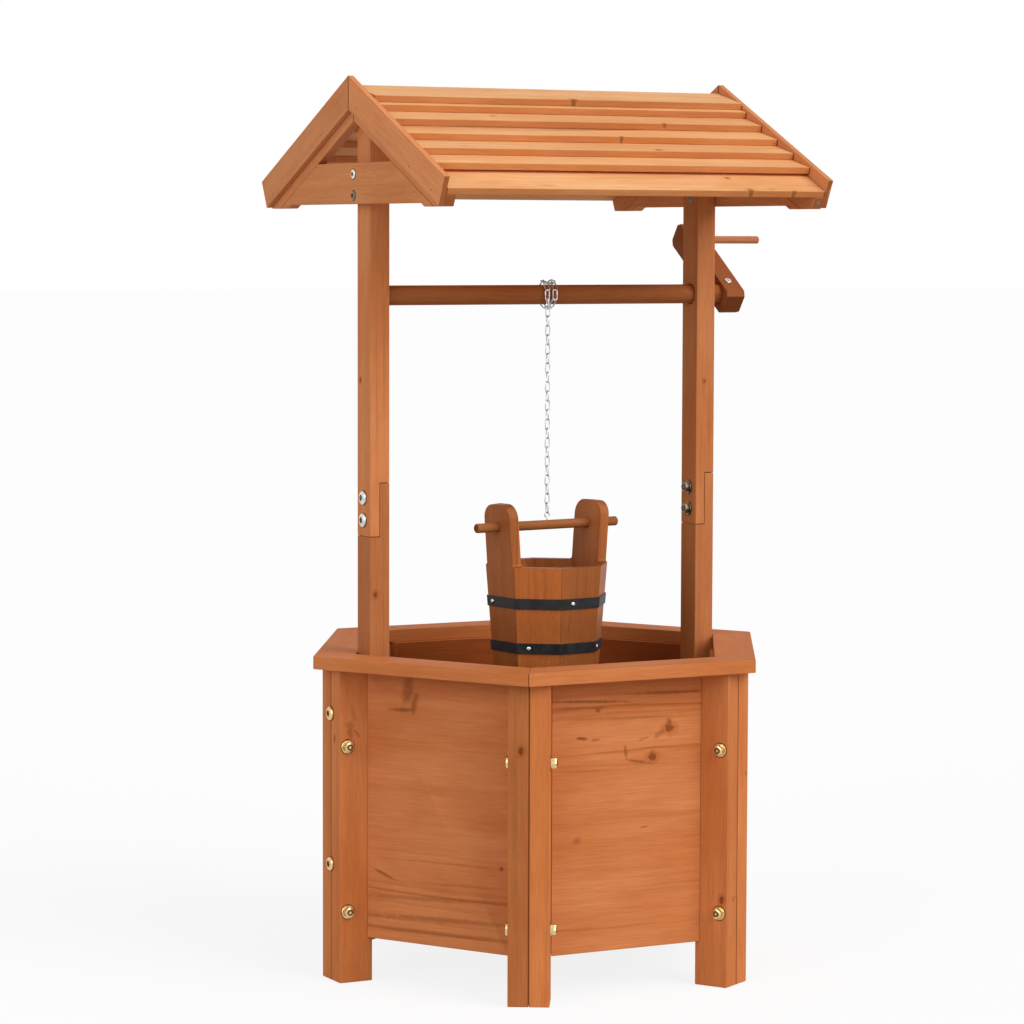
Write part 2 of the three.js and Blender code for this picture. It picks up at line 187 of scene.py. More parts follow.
class WellStage(bpy.types.PropertyGroup):
    """Camera and light"""

    azimuth: angle("Azimuth", "Where the camera stands", -27.43)
    elevation: angle("Elevation", "Height of the camera", 4.43)
    roll: angle("Roll", "Roll of the camera", 0.17)
    distance: length("Distance", "From the camera to the aim", 3381.29)
    aim_side: length("Aim side", "How far the aim lies to the left of the box's middle", 25.87)
    aim_height: length("Aim height", "Height of the aim", 431.07)
    focal: amount("Focal length", "Lens of the camera, in millimetres", 124.71)
    sky: amount("Sky", "Strength of the even light", 0.37)
    key: amount("Key", "Strength of the main lamp", 2.15)
    fill: amount("Fill", "Strength of the side lamp", 1.0)
    floor_colour: colour("Floor", "Colour that the floor throws back", (0.60, 0.60, 0.60))


SETTINGS = {
    "well_stain": WellStain,
    "well_bucket": WellBucket,
    "well_chain": WellChain,
    "well_fastener": WellFastener,
    "well_stage": WellStage,
}


# Material helpers


class Value:
    """A number, vector or colour in a node tree, which sums can be written with"""

    def __init__(self, net, socket):
        self.net = net
        self.socket = socket

    def __add__(self, other):
        return self.net.math("ADD", self, other)

    def __sub__(self, other):
        return self.net.math("SUBTRACT", self, other)

    def __mul__(self, other):
        return self.net.math("MULTIPLY", self, other)

    def __truediv__(self, other):
        return self.net.math("DIVIDE", self, other)

    def __rsub__(self, other):
        return self.net.math("SUBTRACT", other, self)

    def __pow__(self, other):
        return self.net.math("POWER", self, other)

    def __abs__(self):
        return self.net.math("ABSOLUTE", self)

    def times(self, factor, plus):
        return self.net.math("MULTIPLY_ADD", self, factor, plus)


class Outputs:
    """What a node gives, by name or number"""

    def __init__(self, net, node):
        self.net = net
        self.node = node

    def __getitem__(self, key):
        return Value(self.net, self.node.outputs[key])


class Wiring:
    """Adds nodes to one tree and joins their sockets"""

    def __init__(self, tree):
        self.tree = tree

    def add(self, kind, inputs=None, **options):
        node = self.tree.nodes.new(kind)
        for name, value in options.items():
            setattr(node, name, value)
        for name, value in (inputs or {}).items():
            self.feed(value, node.inputs[name])
        return Outputs(self, node)

    def feed(self, value, socket):
        if isinstance(value, Value):
            self.tree.links.new(value.socket, socket)
        elif isinstance(value, tuple) and socket.type == "RGBA":
            socket.default_value = (*value, 1)
        else:
            socket.default_value = value

    def math(self, operation, first, *others):
        """A sum on numbers, or on vectors and colours where the first value is one"""
        wide = isinstance(first, Value) and first.socket.type in ("VECTOR", "RGBA")
        kind = "ShaderNodeVectorMath" if wide else "ShaderNodeMath"
        node = self.add(kind, dict(enumerate((first, *others))), operation=operation)
        number = not wide or operation in ("LENGTH", "DOT_PRODUCT")
        return node["Value" if number else "Vector"]

    def most(self, first, second):
        return self.math("MAXIMUM", first, second)

    def split(self, vector):
        parts = self.add("ShaderNodeSeparateXYZ", {"Vector": vector})
        return parts["X"], parts["Y"], parts["Z"]

    def join(self, x, y, z=0.0):
        return self.add("ShaderNodeCombineXYZ", {"X": x, "Y": y, "Z": z})[0]

    def ramp(self, value, low, high, to_low=0.0, to_high=1.0):
        return self.add("ShaderNodeMapRange", {
            "Value": value, "From Min": low, "From Max": high, "To Min": to_low,
            "To Max": to_high,
        }, interpolation_type="SMOOTHSTEP")["Result"]

    def blend(self, factor, first, second, mode="MIX"):
        return self.add("ShaderNodeMix", {0: factor, 6: first, 7: second}, data_type="RGBA",
                        blend_type=mode)[2]

    def noise(self, vector, scale, detail, roughness=0.5):
        return self.add("ShaderNodeTexNoise", {
            "Vector": vector, "Scale": scale, "Detail": detail, "Roughness": roughness})["Fac"]

    def bump(self, height, strength, distance):
        return self.add("ShaderNodeBump", {
            "Height": height, "Strength": strength, "Distance": distance})[0]

    def group(self, name, inputs):
        """A shared group, which is made the first time that it is used"""
        tree = bpy.data.node_groups.get(name) or GROUPS[name]()
        return self.add("ShaderNodeGroup", inputs, node_tree=tree)

    def principled(self, inputs):
        return self.add("ShaderNodeBsdfPrincipled", inputs)[0]

    def show(self, shader):
        self.add("ShaderNodeOutputMaterial", {"Surface": shader}, is_active_output=True)


def seen_directly(net):
    """1 where the eye, a reflection or clear glass looks at a surface, else 0"""
    path = net.add("ShaderNodeLightPath")
    mirrored = net.most(path["Is Glossy Ray"], path["Is Transmission Ray"])
    return net.most(path["Is Camera Ray"], mirrored)


def new_group(name, inputs, outputs):
    """An empty shader group with float sockets, or vector ones where the default is a tuple"""
    tree = bpy.data.node_groups.new(name, "ShaderNodeTree")
    for label, default in inputs.items():
        kind = "NodeSocketVector" if isinstance(default, tuple) else "NodeSocketFloat"
        socket = tree.interface.new_socket(label, in_out="INPUT", socket_type=kind)
        socket.default_value = default
    for label in outputs:
        tree.interface.new_socket(label, in_out="OUTPUT", socket_type="NodeSocketFloat")
    net = Wiring(tree)
    return net, net.add("NodeGroupInput")


def figure_group():
    """Growth lines, stain clouds, soft streaks and fibres of a board whose grain runs along X.
    Growth lines are strong between two places across the board and faint elsewhere."""
    net, given = new_group("fir_figure", {
        "Vector": (0.0, 0.0, 0.0), "Seed": 0.0, "Ring pitch": 0.005, "Pith depth": 0.05,
        "Pith side": 0.0, "Swirl": 0.0, "Strong from": 1.0, "Strong to": 2.0,
    }, ("Line", "Cloud", "Streak", "Fibre"))
    seed = given["Seed"]
    place = given["Vector"] + net.join(seed * 1.713, seed * 0.619, seed * 0.377)

    def noise(along, across, detail, roughness=0.5):
        return net.noise(place * (along, across, across), 1.0, detail, roughness)

    _, side, depth = net.split(given["Vector"])
    across = side + noise(1.3, 4.0, 2.0).times(0.07, -0.035) + given["Pith side"]
    radius = net.math("SQRT", across ** 2.0 + (depth + given["Pith depth"]) ** 2.0)
    radius = noise(3.5, 95.0, 3.0).times(0.0075, radius + given["Swirl"])
    years = radius / given["Ring pitch"]
    ring = net.math("FRACT", years)
    year = net.math("FLOOR", years) + seed
    season = net.add("ShaderNodeTexWhiteNoise", {"W": year}, noise_dimensions="1D")["Value"]
    late = net.ramp(ring, 0.15, 0.90) * net.ramp(ring, 1.0, 0.88)
    late = late * net.ramp(season, 0.30, 1.0, 0.10, 1.0)
    patchy = noise(4.0, 30.0, 2.0)
    start, stop = given["Strong from"], given["Strong to"]
    fade = 0.012
    strong = net.ramp(side, start - fade, start) * net.ramp(side, stop, stop - fade)
    strong = strong * net.ramp(patchy, 0.25, 0.60, 0.45, 1.0)
    strength = net.most(net.ramp(patchy, 0.38, 0.74, 0.04, 0.50), strong)
    net.add("NodeGroupOutput", {
        "Line": late * strength,
        "Cloud": net.ramp(noise(6.0, 17.0, 4.0, 0.6), 0.32, 0.68),
        "Streak": net.ramp(noise(5.0, 130.0, 3.0, 0.6), 0.28, 0.72),
        "Fibre": net.ramp(noise(40.0, 800.0, 2.0), 0.25, 0.75),
    })
    return net.tree


def knot_group():
    """A knot or a mark on a board: its heart, the darker wood round it, and how far it turns
    the growth lines. Stretch draws it out along its own direction."""
    net, given = new_group("fir_knot", {
        "Vector": (0.0, 0.0, 0.0), "Centre": (0.0, 0.0, 0.0), "Radius": 0.004,
        "Stretch": 1.0, "Turn": 0.0, "Softness": 0.2,
    }, ("Heart", "Halo", "Swirl"))
    radius, soft = given["Radius"], given["Softness"]
    offset = given["Vector"] - given["Centre"]
    run, side, _ = net.split(net.add("ShaderNodeVectorRotate", {
        "Vector": offset, "Angle": given["Turn"]}, rotation_type="Z_AXIS")[0])
    reach = net.math("LENGTH", net.join(run / given["Stretch"], side)) / radius
    reach = reach + net.noise(given["Vector"], 240.0, 3.0).times(1.3, -0.65)
    heart = net.ramp(reach, soft + 1.0, 1.0 - soft)
    rings = net.ramp(net.math("FRACT", reach * 2.6), 0.2, 0.9)
    far = net.math("LENGTH", offset * (0.26, 0.6, 0.0)) / radius
    fade = net.math("EXPONENT", far ** 2.0 * -0.8)
    lean = net.math("TANH", net.split(offset)[1] / radius)
    net.add("NodeGroupOutput", {
        "Heart": heart * rings.times(0.3, 0.7),
        "Halo": net.ramp(reach, 3.0, 0.7),
        "Swirl": lean * fade * (radius * -1.6),
    })
    return net.tree


def smear_group():
    """Fine dents and smears on metal"""
    net, given = new_group(
        "metal_smear", {"Vector": (0.0, 0.0, 0.0), "Scale": 300.0}, ("Smear", "Dent"))
    scaled = net.add("ShaderNodeVectorMath", {
        "Vector": given["Vector"], "Scale": given["Scale"]}, operation="SCALE")[0]
    net.add("NodeGroupOutput", {
        "Smear": net.ramp(net.noise(scaled, 1.0, 3.0), 0.3, 0.7),
        "Dent": net.noise(scaled, 3.5, 2.0),
    })
    return net.tree


GROUPS = {"fir_figure": figure_group, "fir_knot": knot_group, "metal_smear": smear_group}

# The share of a stain's red, green and blue that is kept
DARK_CLOUD = (0.93, 0.87, 0.80)
PALE_CLOUD = (1.06, 1.13, 1.20)
STREAK = (0.76, 0.62, 0.48)
GROWTH_LINE = (0.60, 0.42, 0.26)
KNOT_HALO = (0.68, 0.52, 0.36)
KNOT_HEART = (0.28, 0.19, 0.12)
END_GRAIN = (0.46, 0.34, 0.25)
MITRE_SEAM = (0.16, 0.10, 0.08)
LEG_SEAM = (0.34, 0.24, 0.18)
# Painted shade on the panels' inner faces, inside the box
INSIDE_BOX_SHADE = (0.55, 0.40, 0.25)
# Painted shade on the posts' faces that look at each other, between the posts
BETWEEN_POSTS_SHADE = (0.82, 0.78, 0.66)
# Painted shade on the slats' lower edge faces
UNDER_SLAT_SHADE = (0.70, 0.54, 0.42)


def shade_of(base, kept):
    """A lighter or darker shade of a stain"""
    return tuple(min(1.0, part * share) for part, share in zip(base, kept))


def toned(base, tint):
    """A stain that keeps its hue"""
    return shade_of(base, (tint, tint, tint))


def new_material(name):
    material = bpy.data.materials.new(name)
    material.use_nodes = True
    material.node_tree.nodes.clear()
    return material, Wiring(material.node_tree)


class Grain:
    """Where a board's grain runs, and what shows in it. A knot is (along, across, radius) and a
    mark is (along, across, radius, stretch, degrees, depth, softness), in millimetres from the
    origin. The edge lists hold those that pierce the board from edge to edge. A painted shade is
    a direction and how much red, green and blue the faces that look that way keep, for the
    shade that falls on them. Folded boards have the same grain on both sides of the ridge. A
    joint is the side of the board, 1 or -1, on which stain has gathered in a seam."""

    pith_side = 0.0
    knots = marks = edge_knots = edge_marks = shades = ()
    strong = (1000.0, 2000.0)
    folded = mitred = False
    joint = 0

    def __init__(self, along, across, origin, pitch=4.6, pith=46.0):
        self.along = Vector(along).normalized()
        self.across = Vector(across)
        self.origin = Vector(origin)
        self.pitch = pitch
        self.pith = pith

    def turn(self):
        """Matrix that brings the board's length to X and its width to Y"""
        normal = self.along.cross(self.across).normalized()
        return Matrix((self.along, normal.cross(self.along), normal))


def board_place(net, grain):
    """Object coordinates, turned to run along, across and through the board"""
    place = net.add("ShaderNodeTexCoord")["Object"]
    if grain.folded:
        x, y, z = net.split(place)
        place = net.join(x, abs(y), z)
    turn = grain.turn()
    return net.add("ShaderNodeMapping", {
        "Vector": place, "Location": -(turn @ grain.origin), "Rotation": turn.to_euler("XYZ"),
    })[0]


def add_knots(net, board, knots, marks):
    """Joins the masks of some knots and marks into one heart, one halo and one swirl"""

    def spot(run, side, radius, stretch=1.3, degrees=0.0, softness=0.2):
        return net.group("fir_knot", {
            "Vector": board, "Centre": (run * MM, side * MM, 0.0), "Radius": radius * MM,
            "Stretch": float(stretch), "Turn": math.radians(-degrees), "Softness": softness,
        })

    heart = halo = swirl = 0.0
    for knot in knots:
        masks = spot(*knot)
        heart = net.most(heart, masks["Heart"])
        halo = net.most(halo, masks["Halo"])
        swirl = net.math("ADD", swirl, masks["Swirl"])
    for *shape, depth, softness in marks:
        heart = net.most(heart, spot(*shape, softness)["Heart"] * depth)
    return heart, halo, swirl


def shade_faces(net, board, grain, paint, base):
    """End grain drinks more stain, shade is painted on faces inside the box, between the posts and
    under the slats' lower edges, and stain gathers where two boards meet"""
    coordinates = net.add("ShaderNodeTexCoord")
    normal = coordinates["Normal"]
    side = net.split(coordinates["Object"])[1]
    if grain.folded:
        x, y, z = net.split(normal)
        normal = net.join(x, y * net.math("SIGN", side), z)
    end = net.ramp(abs(net.math("DOT_PRODUCT", normal, grain.along)), 0.70, 0.95, 0.0, 0.85)
    paint = net.blend(end, paint, shade_of(base, END_GRAIN))
    # Painted shade on the faces that look a given way
    for direction, kept in grain.shades:
        looks = net.math("DOT_PRODUCT", normal, Vector(direction).normalized())
        paint = net.blend(net.ramp(looks, 0.60, 0.95), paint, kept, mode="MULTIPLY")
    if grain.mitred:
        seam = net.ramp(abs(side), 1.2 * MM, 0.5 * MM, 0.0, 0.85)
        paint = net.blend(seam, paint, shade_of(base, MITRE_SEAM))
    if grain.joint:
        through = net.split(board)[2] * float(grain.joint)
        seam = net.ramp(through, 8.2 * MM, 9.4 * MM, 0.0, 0.8)
        paint = net.blend(seam, paint, shade_of(base, LEG_SEAM))
    return paint


def fir(name, base, seed, grain, contrast=1.0, rough=0.60, sheen=0.06):
    """Stained fir whose figure follows a board's grain"""
    material, net = new_material(name)
    board = board_place(net, grain)
    heart, halo, swirl = add_knots(net, board, grain.knots, grain.marks)
    if grain.edge_knots or grain.edge_marks:
        run, _, through = net.split(board)
        masks = add_knots(net, net.join(run, through), grain.edge_knots, grain.edge_marks)
        heart, halo = net.most(heart, masks[0]), net.most(halo, masks[1])
    figure = net.group("fir_figure", {
        "Vector": board, "Seed": float(seed), "Ring pitch": grain.pitch * MM,
        "Pith depth": grain.pith * MM, "Pith side": grain.pith_side * MM, "Swirl": swirl,
        "Strong from": grain.strong[0] * MM, "Strong to": grain.strong[1] * MM,
    })
    line, fibre = figure["Line"], figure["Fibre"]
    paint = net.blend(figure["Cloud"], shade_of(base, DARK_CLOUD), shade_of(base, PALE_CLOUD))
    paint = net.blend(figure["Streak"] * (0.30 * contrast), paint, shade_of(base, STREAK))
    paint = net.blend(line * (0.80 * contrast), paint, shade_of(base, GROWTH_LINE))
    fleck = fibre.times(0.14, 0.95)
    paint = paint * net.join(fleck, fleck, fleck)
    paint = shade_faces(net, board, grain, paint, base)
    if grain.knots or grain.edge_knots:
        paint = net.blend(halo * 0.60, paint, shade_of(base, KNOT_HALO))
    if isinstance(heart, Value):
        paint = net.blend(heart * 0.85, paint, shade_of(base, KNOT_HEART))
    net.show(net.principled({
        "Base Color": paint,
        "Roughness": fibre.times(0.08, line.times(-0.08, rough - 0.04)),
        "Normal": net.bump(line.times(0.4, fibre * 0.5), 0.30, 0.4 * MM),
        "Specular IOR Level": sheen,
    }))
    return material


def steel(name, tint, rough, smear, scale, worn, dent, depth, coat):
    """Smeared and finely dented steel. Worn is how much of its tint the smears keep."""
    material, net = new_material(name)
    marks = net.group("metal_smear", {
        "Vector": net.add("ShaderNodeTexCoord")["Object"], "Scale": scale})
    net.show(net.principled({
        "Base Color": net.blend(
            marks["Smear"], tuple(tint), tuple(part * worn for part in tint)),
        "Roughness": marks["Smear"].times(smear, rough),
        "Normal": net.bump(marks["Dent"], dent, depth),
        **coat,
    }))
    return material


def metal(name, tint, rough):
    """Plated steel"""
    return steel(name, tint, rough, smear=0.10, scale=300.0, worn=0.72, dent=0.15,
                 depth=0.2 * MM, coat={"Metallic": 1.0})


def black_paint(name, tint):
    """Black paint on thin steel, scuffed here and there"""
    return steel(name, tint, 0.40, smear=0.16, scale=90.0, worn=2.4, dent=0.25,
                 depth=0.4 * MM, coat={"Specular IOR Level": 0.3})


# Mesh helpers


def mesh_from(bm, name):
    mesh = bpy.data.meshes.new(name)
    bm.to_mesh(mesh)
    bm.free()
    return mesh


def linked(name, data):
    """A new object in the scene"""
    thing = bpy.data.objects.new(name, data)
    bpy.context.scene.collection.objects.link(thing)
    return thing


def dress(node, material, edge_round):
    """Gives a CAD board its finish and rounds its edges"""
    board = NODES[node]
    board.data.materials.clear()
    board.data.materials.append(material)
    board.modifiers.new("Join facets", "WELD").merge_threshold = 0.01 * MM
    soften(board, edge_round)


def soften(piece, width):
    edges = piece.modifiers.new("Rounded edges", "BEVEL")
    edges.width = width
    edges.segments = 2
    edges.limit_method = "ANGLE"
    edges.angle_limit = math.radians(32)
    edges.use_clamp_overlap = True


def piece_from(bm, name, body, material, smooth=None):
    """Turns a bmesh into a piece that rides on a body"""
    bmesh.ops.recalc_face_normals(bm, faces=bm.faces)
    mesh = mesh_from(bm, name)
    if smooth is not None:
        mesh.shade_smooth()
        mesh.set_sharp_from_angle(angle=math.radians(smooth))
    mesh.materials.append(material)
    piece = linked(name, mesh)
    if body:
        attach(piece, body)
    return piece


def fitting(bm, name, material, body="frame"):
    """A small piece of plated steel"""
    return piece_from(bm, name, body, material, smooth=35)


def placed(bm, placing):
    """Moves a bmesh to its place, and gives it back"""
    bmesh.ops.transform(bm, matrix=placing, verts=bm.verts)
    return bm


def add_to(bm, shape, placing):
    """Puts a placed copy of a shape into a bmesh, and leaves the shape as it was"""
    mesh = mesh_from(placed(shape.copy(), placing), "copy")
    bm.from_mesh(mesh)
    bpy.data.meshes.remove(mesh)


def lifted(height):
    return Matrix.Translation((0, 0, height))


def facing(place, direction, turn=0.0):
    """Placing that turns a shape's Z to a direction, at a place"""
    towards = Vector(direction).to_track_quat("Z", "Y").to_matrix().to_4x4()
    return Matrix.Translation(place) @ towards @ Matrix.Rotation(turn, 4, "Z")


def spun(bm, steps):
    """Spins the lines of a bmesh all the way round Z"""
    bmesh.ops.spin(
        bm, geom=[*bm.verts, *bm.edges], cent=(0, 0, 0), axis=(0, 0, 1), angle=2 * math.pi,
        steps=steps, use_merge=True,
    )
    bmesh.ops.remove_doubles(bm, verts=bm.verts, dist=1e-7)
    return bm


def turned(profile, steps=32):
    """A shape turned about Z from (radius, height) points"""
    bm = bmesh.new()
    points = [bm.verts.new((radius, 0, height)) for radius, height in profile]
    for pair in zip(points, points[1:]):
        bm.edges.new(pair)
    return spun(bm, steps)


def wire_ring(wire_radius, radius, steps):
    """A closed ring of round wire which lies in XY"""
    bm = bmesh.new()
    bmesh.ops.create_circle(bm, segments=8, radius=wire_radius)
    placed(bm, Matrix.Translation((radius, 0, 0)) @ Matrix.Rotation(math.pi / 2, 4, "X"))
    return spun(bm, steps)


def prism(sides, radius, low, high):
    """A regular prism from one height to another"""
    bm = bmesh.new()
    bmesh.ops.create_cone(
        bm, cap_ends=True, segments=sides, radius1=radius, radius2=radius, depth=high - low)
    return placed(bm, lifted((low + high) / 2))


def rod_shape(radius, run, chamfer, steps):
    """A turned rod from the origin along Z, with chamfered ends"""
    return turned([
        (0, 0),
        (radius - chamfer, 0),
        (radius, chamfer),
        (radius, run - chamfer),
        (radius - chamfer, run),
        (0, run),
    ], steps)


def cut_away(bm, tool):
    """The first shape less the second"""
    objects = []
    for label, shape in (("blank", bm), ("tool", tool)):
        bmesh.ops.recalc_face_normals(shape, faces=shape.faces)
        objects.append(linked(label, mesh_from(shape, label)))
    blank, cutter = objects
    boolean = blank.modifiers.new("cut", "BOOLEAN")
    boolean.operation = "DIFFERENCE"
    boolean.object = cutter
    boolean.solver = "EXACT"
    made = bmesh.new()
    made.from_object(blank, bpy.context.evaluated_depsgraph_get())
    for done in objects:
        mesh = done.data
        bpy.data.objects.remove(done)
        bpy.data.meshes.remove(mesh)
    return made


# Fastener shapes, which all stand on Z = 0

SOCKET_SHARE = 0.52
NUT_WASHER = 1.2 * MM
THREAD_SHOWING = 0.4 * MM


def washer(radius, bore, thickness):
    return turned([
        (bore, 0),
        (radius, 0),
        (radius, thickness * 0.7),
        (radius - thickness * 0.3, thickness),
        (bore, thickness),
        (bore, 0),
    ])


def domed_head(radius, height, socket=True):
    """A domed head, with a hexagon socket or plain"""
    dome = 6
    wall = 0.40
    profile = [(0, 0), (radius, 0), (radius, height * wall)]
    for step in range(1, dome):
        slope = step / dome * math.pi / 2
        rise = wall + (1 - wall) * math.sin(slope)
        profile.append((radius * math.cos(slope), height * rise))
    profile.append((0, height))
    head = turned(profile)
    if not socket:
        return head
    return cut_away(head, prism(6, radius * SOCKET_SHARE, height * 0.35, height * 1.65))


def hexagon_nut(radius, height):
    bm = prism(6, radius, 0, height)
    rim = [edge for edge in bm.edges if all(vert.co.z > height * 0.9 for vert in edge.verts)]
    bmesh.ops.bevel(
        bm, geom=rim, offset=height * 0.14, segments=2, profile=0.5, affect="EDGES",
        material=-1)
    return bm


def painted_shade_rings(rim, inner, height):
    """Painted shade of a fastener: a dark ring round its rim for its shadow on the wood, and one in
    its middle for the shade in a head's socket and round a nut's thread
    """
    bm = washer(rim + 0.7 * MM, rim * 0.8, 0.3 * MM)
    add_to(bm, inner, lifted(height))
    return bm


def bolt_head(radius, height):
    """A domed head and its painted shade"""
    socket = radius * SOCKET_SHARE
    well = washer(socket * 0.84, socket * 0.34, 0.4 * MM)
    return domed_head(radius, height), painted_shade_rings(radius, well, height * 0.32)


def nut_stack(fastener):
    """Washer, hexagon nut and the bolt's end, and their painted shade"""
    bm = washer(fastener.washer_radius, fastener.bolt_radius, NUT_WASHER)
    add_to(bm, hexagon_nut(fastener.nut_radius, fastener.nut_height), lifted(NUT_WASHER))
    end = rod_shape(fastener.bolt_radius, fastener.nut_height + THREAD_SHOWING, 0.4 * MM, 20)
    add_to(bm, end, lifted(NUT_WASHER))
    thread_shade = washer(2.9 * MM, 1.35 * MM, 0.3 * MM)
    height = NUT_WASHER + fastener.nut_height + 0.35 * MM
    return bm, painted_shade_rings(fastener.washer_radius, thread_shade, height)


# Boards: which way each board's grain runs, its tone, and the knots that show


def polar(turn, radius=1.0):
    """A direction or a distance on the level, turned from +X"""
    return Vector((math.cos(turn), math.sin(turn), 0)) * radius


def about_x(turn):
    """A direction in the upright plane across the ridge, turned up from the rear"""
    return Vector((0, math.cos(turn), math.sin(turn)))


def roof_run(way):
    """Down the roof's slope, to the rear where the way is 1 and to the front where it is -1"""
    return Vector((0, way * math.cos(ROOF_FALL), -math.sin(ROOF_FALL)))


# Tone of single boards; the box floor's 0.5 is painted shade inside the box
BOARD_TONES_AND_SHADE = {
    "panel_left_front": 1.02, "panel_front": 1.02, "leg_strip_left_rear_2": 1.04,
    "leg_strip_left_front_1": 1.04, "leg_strip_left_front_2": 0.74, "leg_strip_front_1": 1.06,
    "leg_strip_front_2": 1.0, "leg_strip_right_front_1": 1.10, "rim_left_front": 0.98,
    "rim_front": 0.98, "post_lower_left": 0.88, "post_lower_right": 0.96,
    "post_upper_left": 1.18, "post_upper_right": 1.04, "box_floor": 0.5,
    "barge_board_left_1": 1.14, "barge_board_left_2": 0.95, "crank_arm": 0.93,
    "roof_slat_front_1": 0.99, "roof_slat_front_4": 1.03, "roof_slat_front_7": 0.93,
}
KNOTS = {
    "panel_front": [(44.4, 75.7, 3.4), (26.4, 50.0, 3.0)],
    "panel_left_front": [(68.7, -46.8, 1.3)],
    "leg_strip_front_2": [(-64.3, 11, 2.4)],
    "roof_slat_front_1": [(115, 21.5, 2.4), (104, -5, 1.8), (161, 23.5, 1.6)],
    "roof_slat_front_3": [(52, 16, 2.2)],
    "roof_slat_front_4": [(26, 22, 1.5)],
    "roof_slat_front_5": [(-83, 2, 1.5), (88, 21, 1.8)],
    "roof_slat_front_7": [(11, 21, 2.6)],
    "roof_slat_rear_2": [(90, 12, 2.6)],
    "roof_slat_rear_5": [(-60, 14, 2.6)],
    "panel_rear": [(40, 60, 4.2), (-50, -30, 3.0)],
    "panel_right_rear": [(10, -70, 4.4), (-40, 90, 2.4)],
    "panel_left_rear": [(30, 20, 3.8)],
    "panel_right_front": [(-30, 60, 4.0), (46, -64, 2.6)],
    "barge_board_right_1": [(60, 4, 2.2)],
    "post_upper_left": [(-54.8, 7.2, 1.7)],
    "post_lower_right": [(-60, 3, 2.2)],
}
MARKS = {
    "panel_front": [
        (34, 71.5, 2.4, 2.6, 35, 0.55, 0.7), (16, 67.5, 1.3, 4, 12, 0.45, 0.7),
        (43.5, 80, 3.2, 1.5, 84, 0.70, 0.5), (26, 52.5, 3.0, 1.4, 80, 0.60, 0.5),
        (-1.6, 56, 1.4, 4.4, 96, 0.75, 0.6), (12, 46.8, 1.3, 9, -10, 0.75, 0.6),
        (-47, 71.5, 1.5, 3.6, -6, 1.0, 0.45), (-33, 69.5, 1.2, 3.6, 2, 0.70, 0.6),
        (-52, -22, 2.6, 1.4, 30, 0.50, 0.7), (18, -14, 1.1, 3.6, 4, 0.50, 0.5),
        (-31, 99, 1.3, 7, 0, 0.60, 0.6), (-31, 97, 2.4, 1.0, 0, 0.80, 0.4),
        (-41, 105, 1.2, 34, -3, 0.85, 0.6), (-58, 100, 1.1, 18, -1, 0.70, 0.6),
        (43, 109, 1.4, 30, -1, 0.85, 0.6), (0, 88, 1.1, 60, -1.4, 0.40, 0.8),
        (-5, 45, 1.1, 56, -2, 0.32, 0.8), (-42, 41.5, 1.1, 30, -2, 0.35, 0.8),
    ],
    "panel_left_front": [
        (-34, 109, 5.6, 2.3, 80, 0.70, 0.6), (-27, 98, 3.2, 2.8, 75, 0.75, 0.6),
        (-39, 91, 1.8, 8, 2, 0.85, 0.5), (-61, -64, 1.3, 10, -20, 0.80, 0.5),
        (0, -48, 0.9, 70, 1, 0.35, 0.7), (0, 20, 4.0, 9, 1, 0.16, 0.9),
        (0, -82, 2.0, 40, 3, 0.50, 0.8), (0, -101, 2.2, 38, 2, 0.58, 0.8),
        (0, -114, 1.9, 40, 1, 0.52, 0.8), (20, -67, 1.2, 44, 2, 0.36, 0.8),
    ],
    "leg_strip_left_front_1": [
        (95, 5.5, 3.2, 1.3, 70, 0.50, 0.7), (88, 6, 2.6, 2.4, 10, 0.60, 0.6),
        (105, 2, 2.4, 3, 20, 0.30, 0.8), (87, -1, 1.4, 3.4, 40, 0.55, 0.6),
    ],
    "leg_strip_front_1": [(0, 10, 2.0, 20, 0, 0.16, 0.9)],
    "leg_strip_right_front_1": [(0, 6, 0.8, 60, 0, 0.40, 0.6)],
    "roof_slat_front_1": [
        (-92, 15, 1.0, 8, 2, 0.45, 0.5), (40, -8, 1.2, 22, 0, 0.22, 0.7),
        (139, 18.5, 3.0, 1.2, 0, 0.32, 0.6), (185, 8.5, 1.0, 1.6, 0, 0.70, 0.4),
    ],
    "roof_slat_front_3": [(-144, 12, 0.9, 8, 4, 0.80, 0.4)],
    "roof_slat_front_4": [(-60, 14, 1.0, 20, 0, 0.30, 0.6)],
    "roof_slat_front_6": [(10, 14, 1.0, 24, 0, 0.30, 0.6)],
}
EDGE_KNOTS = {
    "leg_strip_left_front_2": [(86.4, 2.1, 2.3)],
    "post_lower_left": [(103.9, 4.6, 2.0)],
    "post_upper_right": [(-60.6, 1.3, 1.4)],
}
EDGE_MARKS = {
    "post_upper_left": [
        (-60, 3, 1.0, 60, 0, 0.22, 0.8), (-30, -4, 1.2, 40, 0, 0.18, 0.8),
    ],
    "post_upper_right": [(-112, -4.4, 1.9, 22, 0, 0.30, 0.9)],
    "leg_strip_left_front_1": [(82.6, -1.6, 1.6, 3.0, 4, 0.95, 0.4)],
    "leg_strip_left_front_2": [(20, -3, 2.6, 30, 0, 0.30, 0.9)],
    "leg_strip_front_2": [
        (-64.6, 2.4, 1.0, 3.4, -12, 0.80, 0.4), (-64, 6.4, 0.7, 2.6, 0, 0.6, 0.4),
    ],
    "leg_strip_right_front_1": [
        (50.5, 6.2, 1.3, 2.4, 0, 0.70, 0.4), (60, -3, 0.8, 30, 0, 0.35, 0.6),
    ],
}
STRONG_LINES = {"panel_front": (62, 140), "panel_left_front": (-140, -62)}
STAIN_OF = {
    "panel": "box", "box_floor": "box", "leg": "legs", "rim": "legs", "post": "posts",
    "barge": "gables", "rafter": "gables", "tie": "ties", "roof": "roof", "crank": "windlass",
}
# Nodes that the other steps dress or replace
NOT_BOARDS = ("windlass_rod", "crank_peg", "chain_winding", "hanging_chain", "bucket_")
FRONT_BARGE_BOARDS = ("barge_board_right_2", "barge_board_left_1")


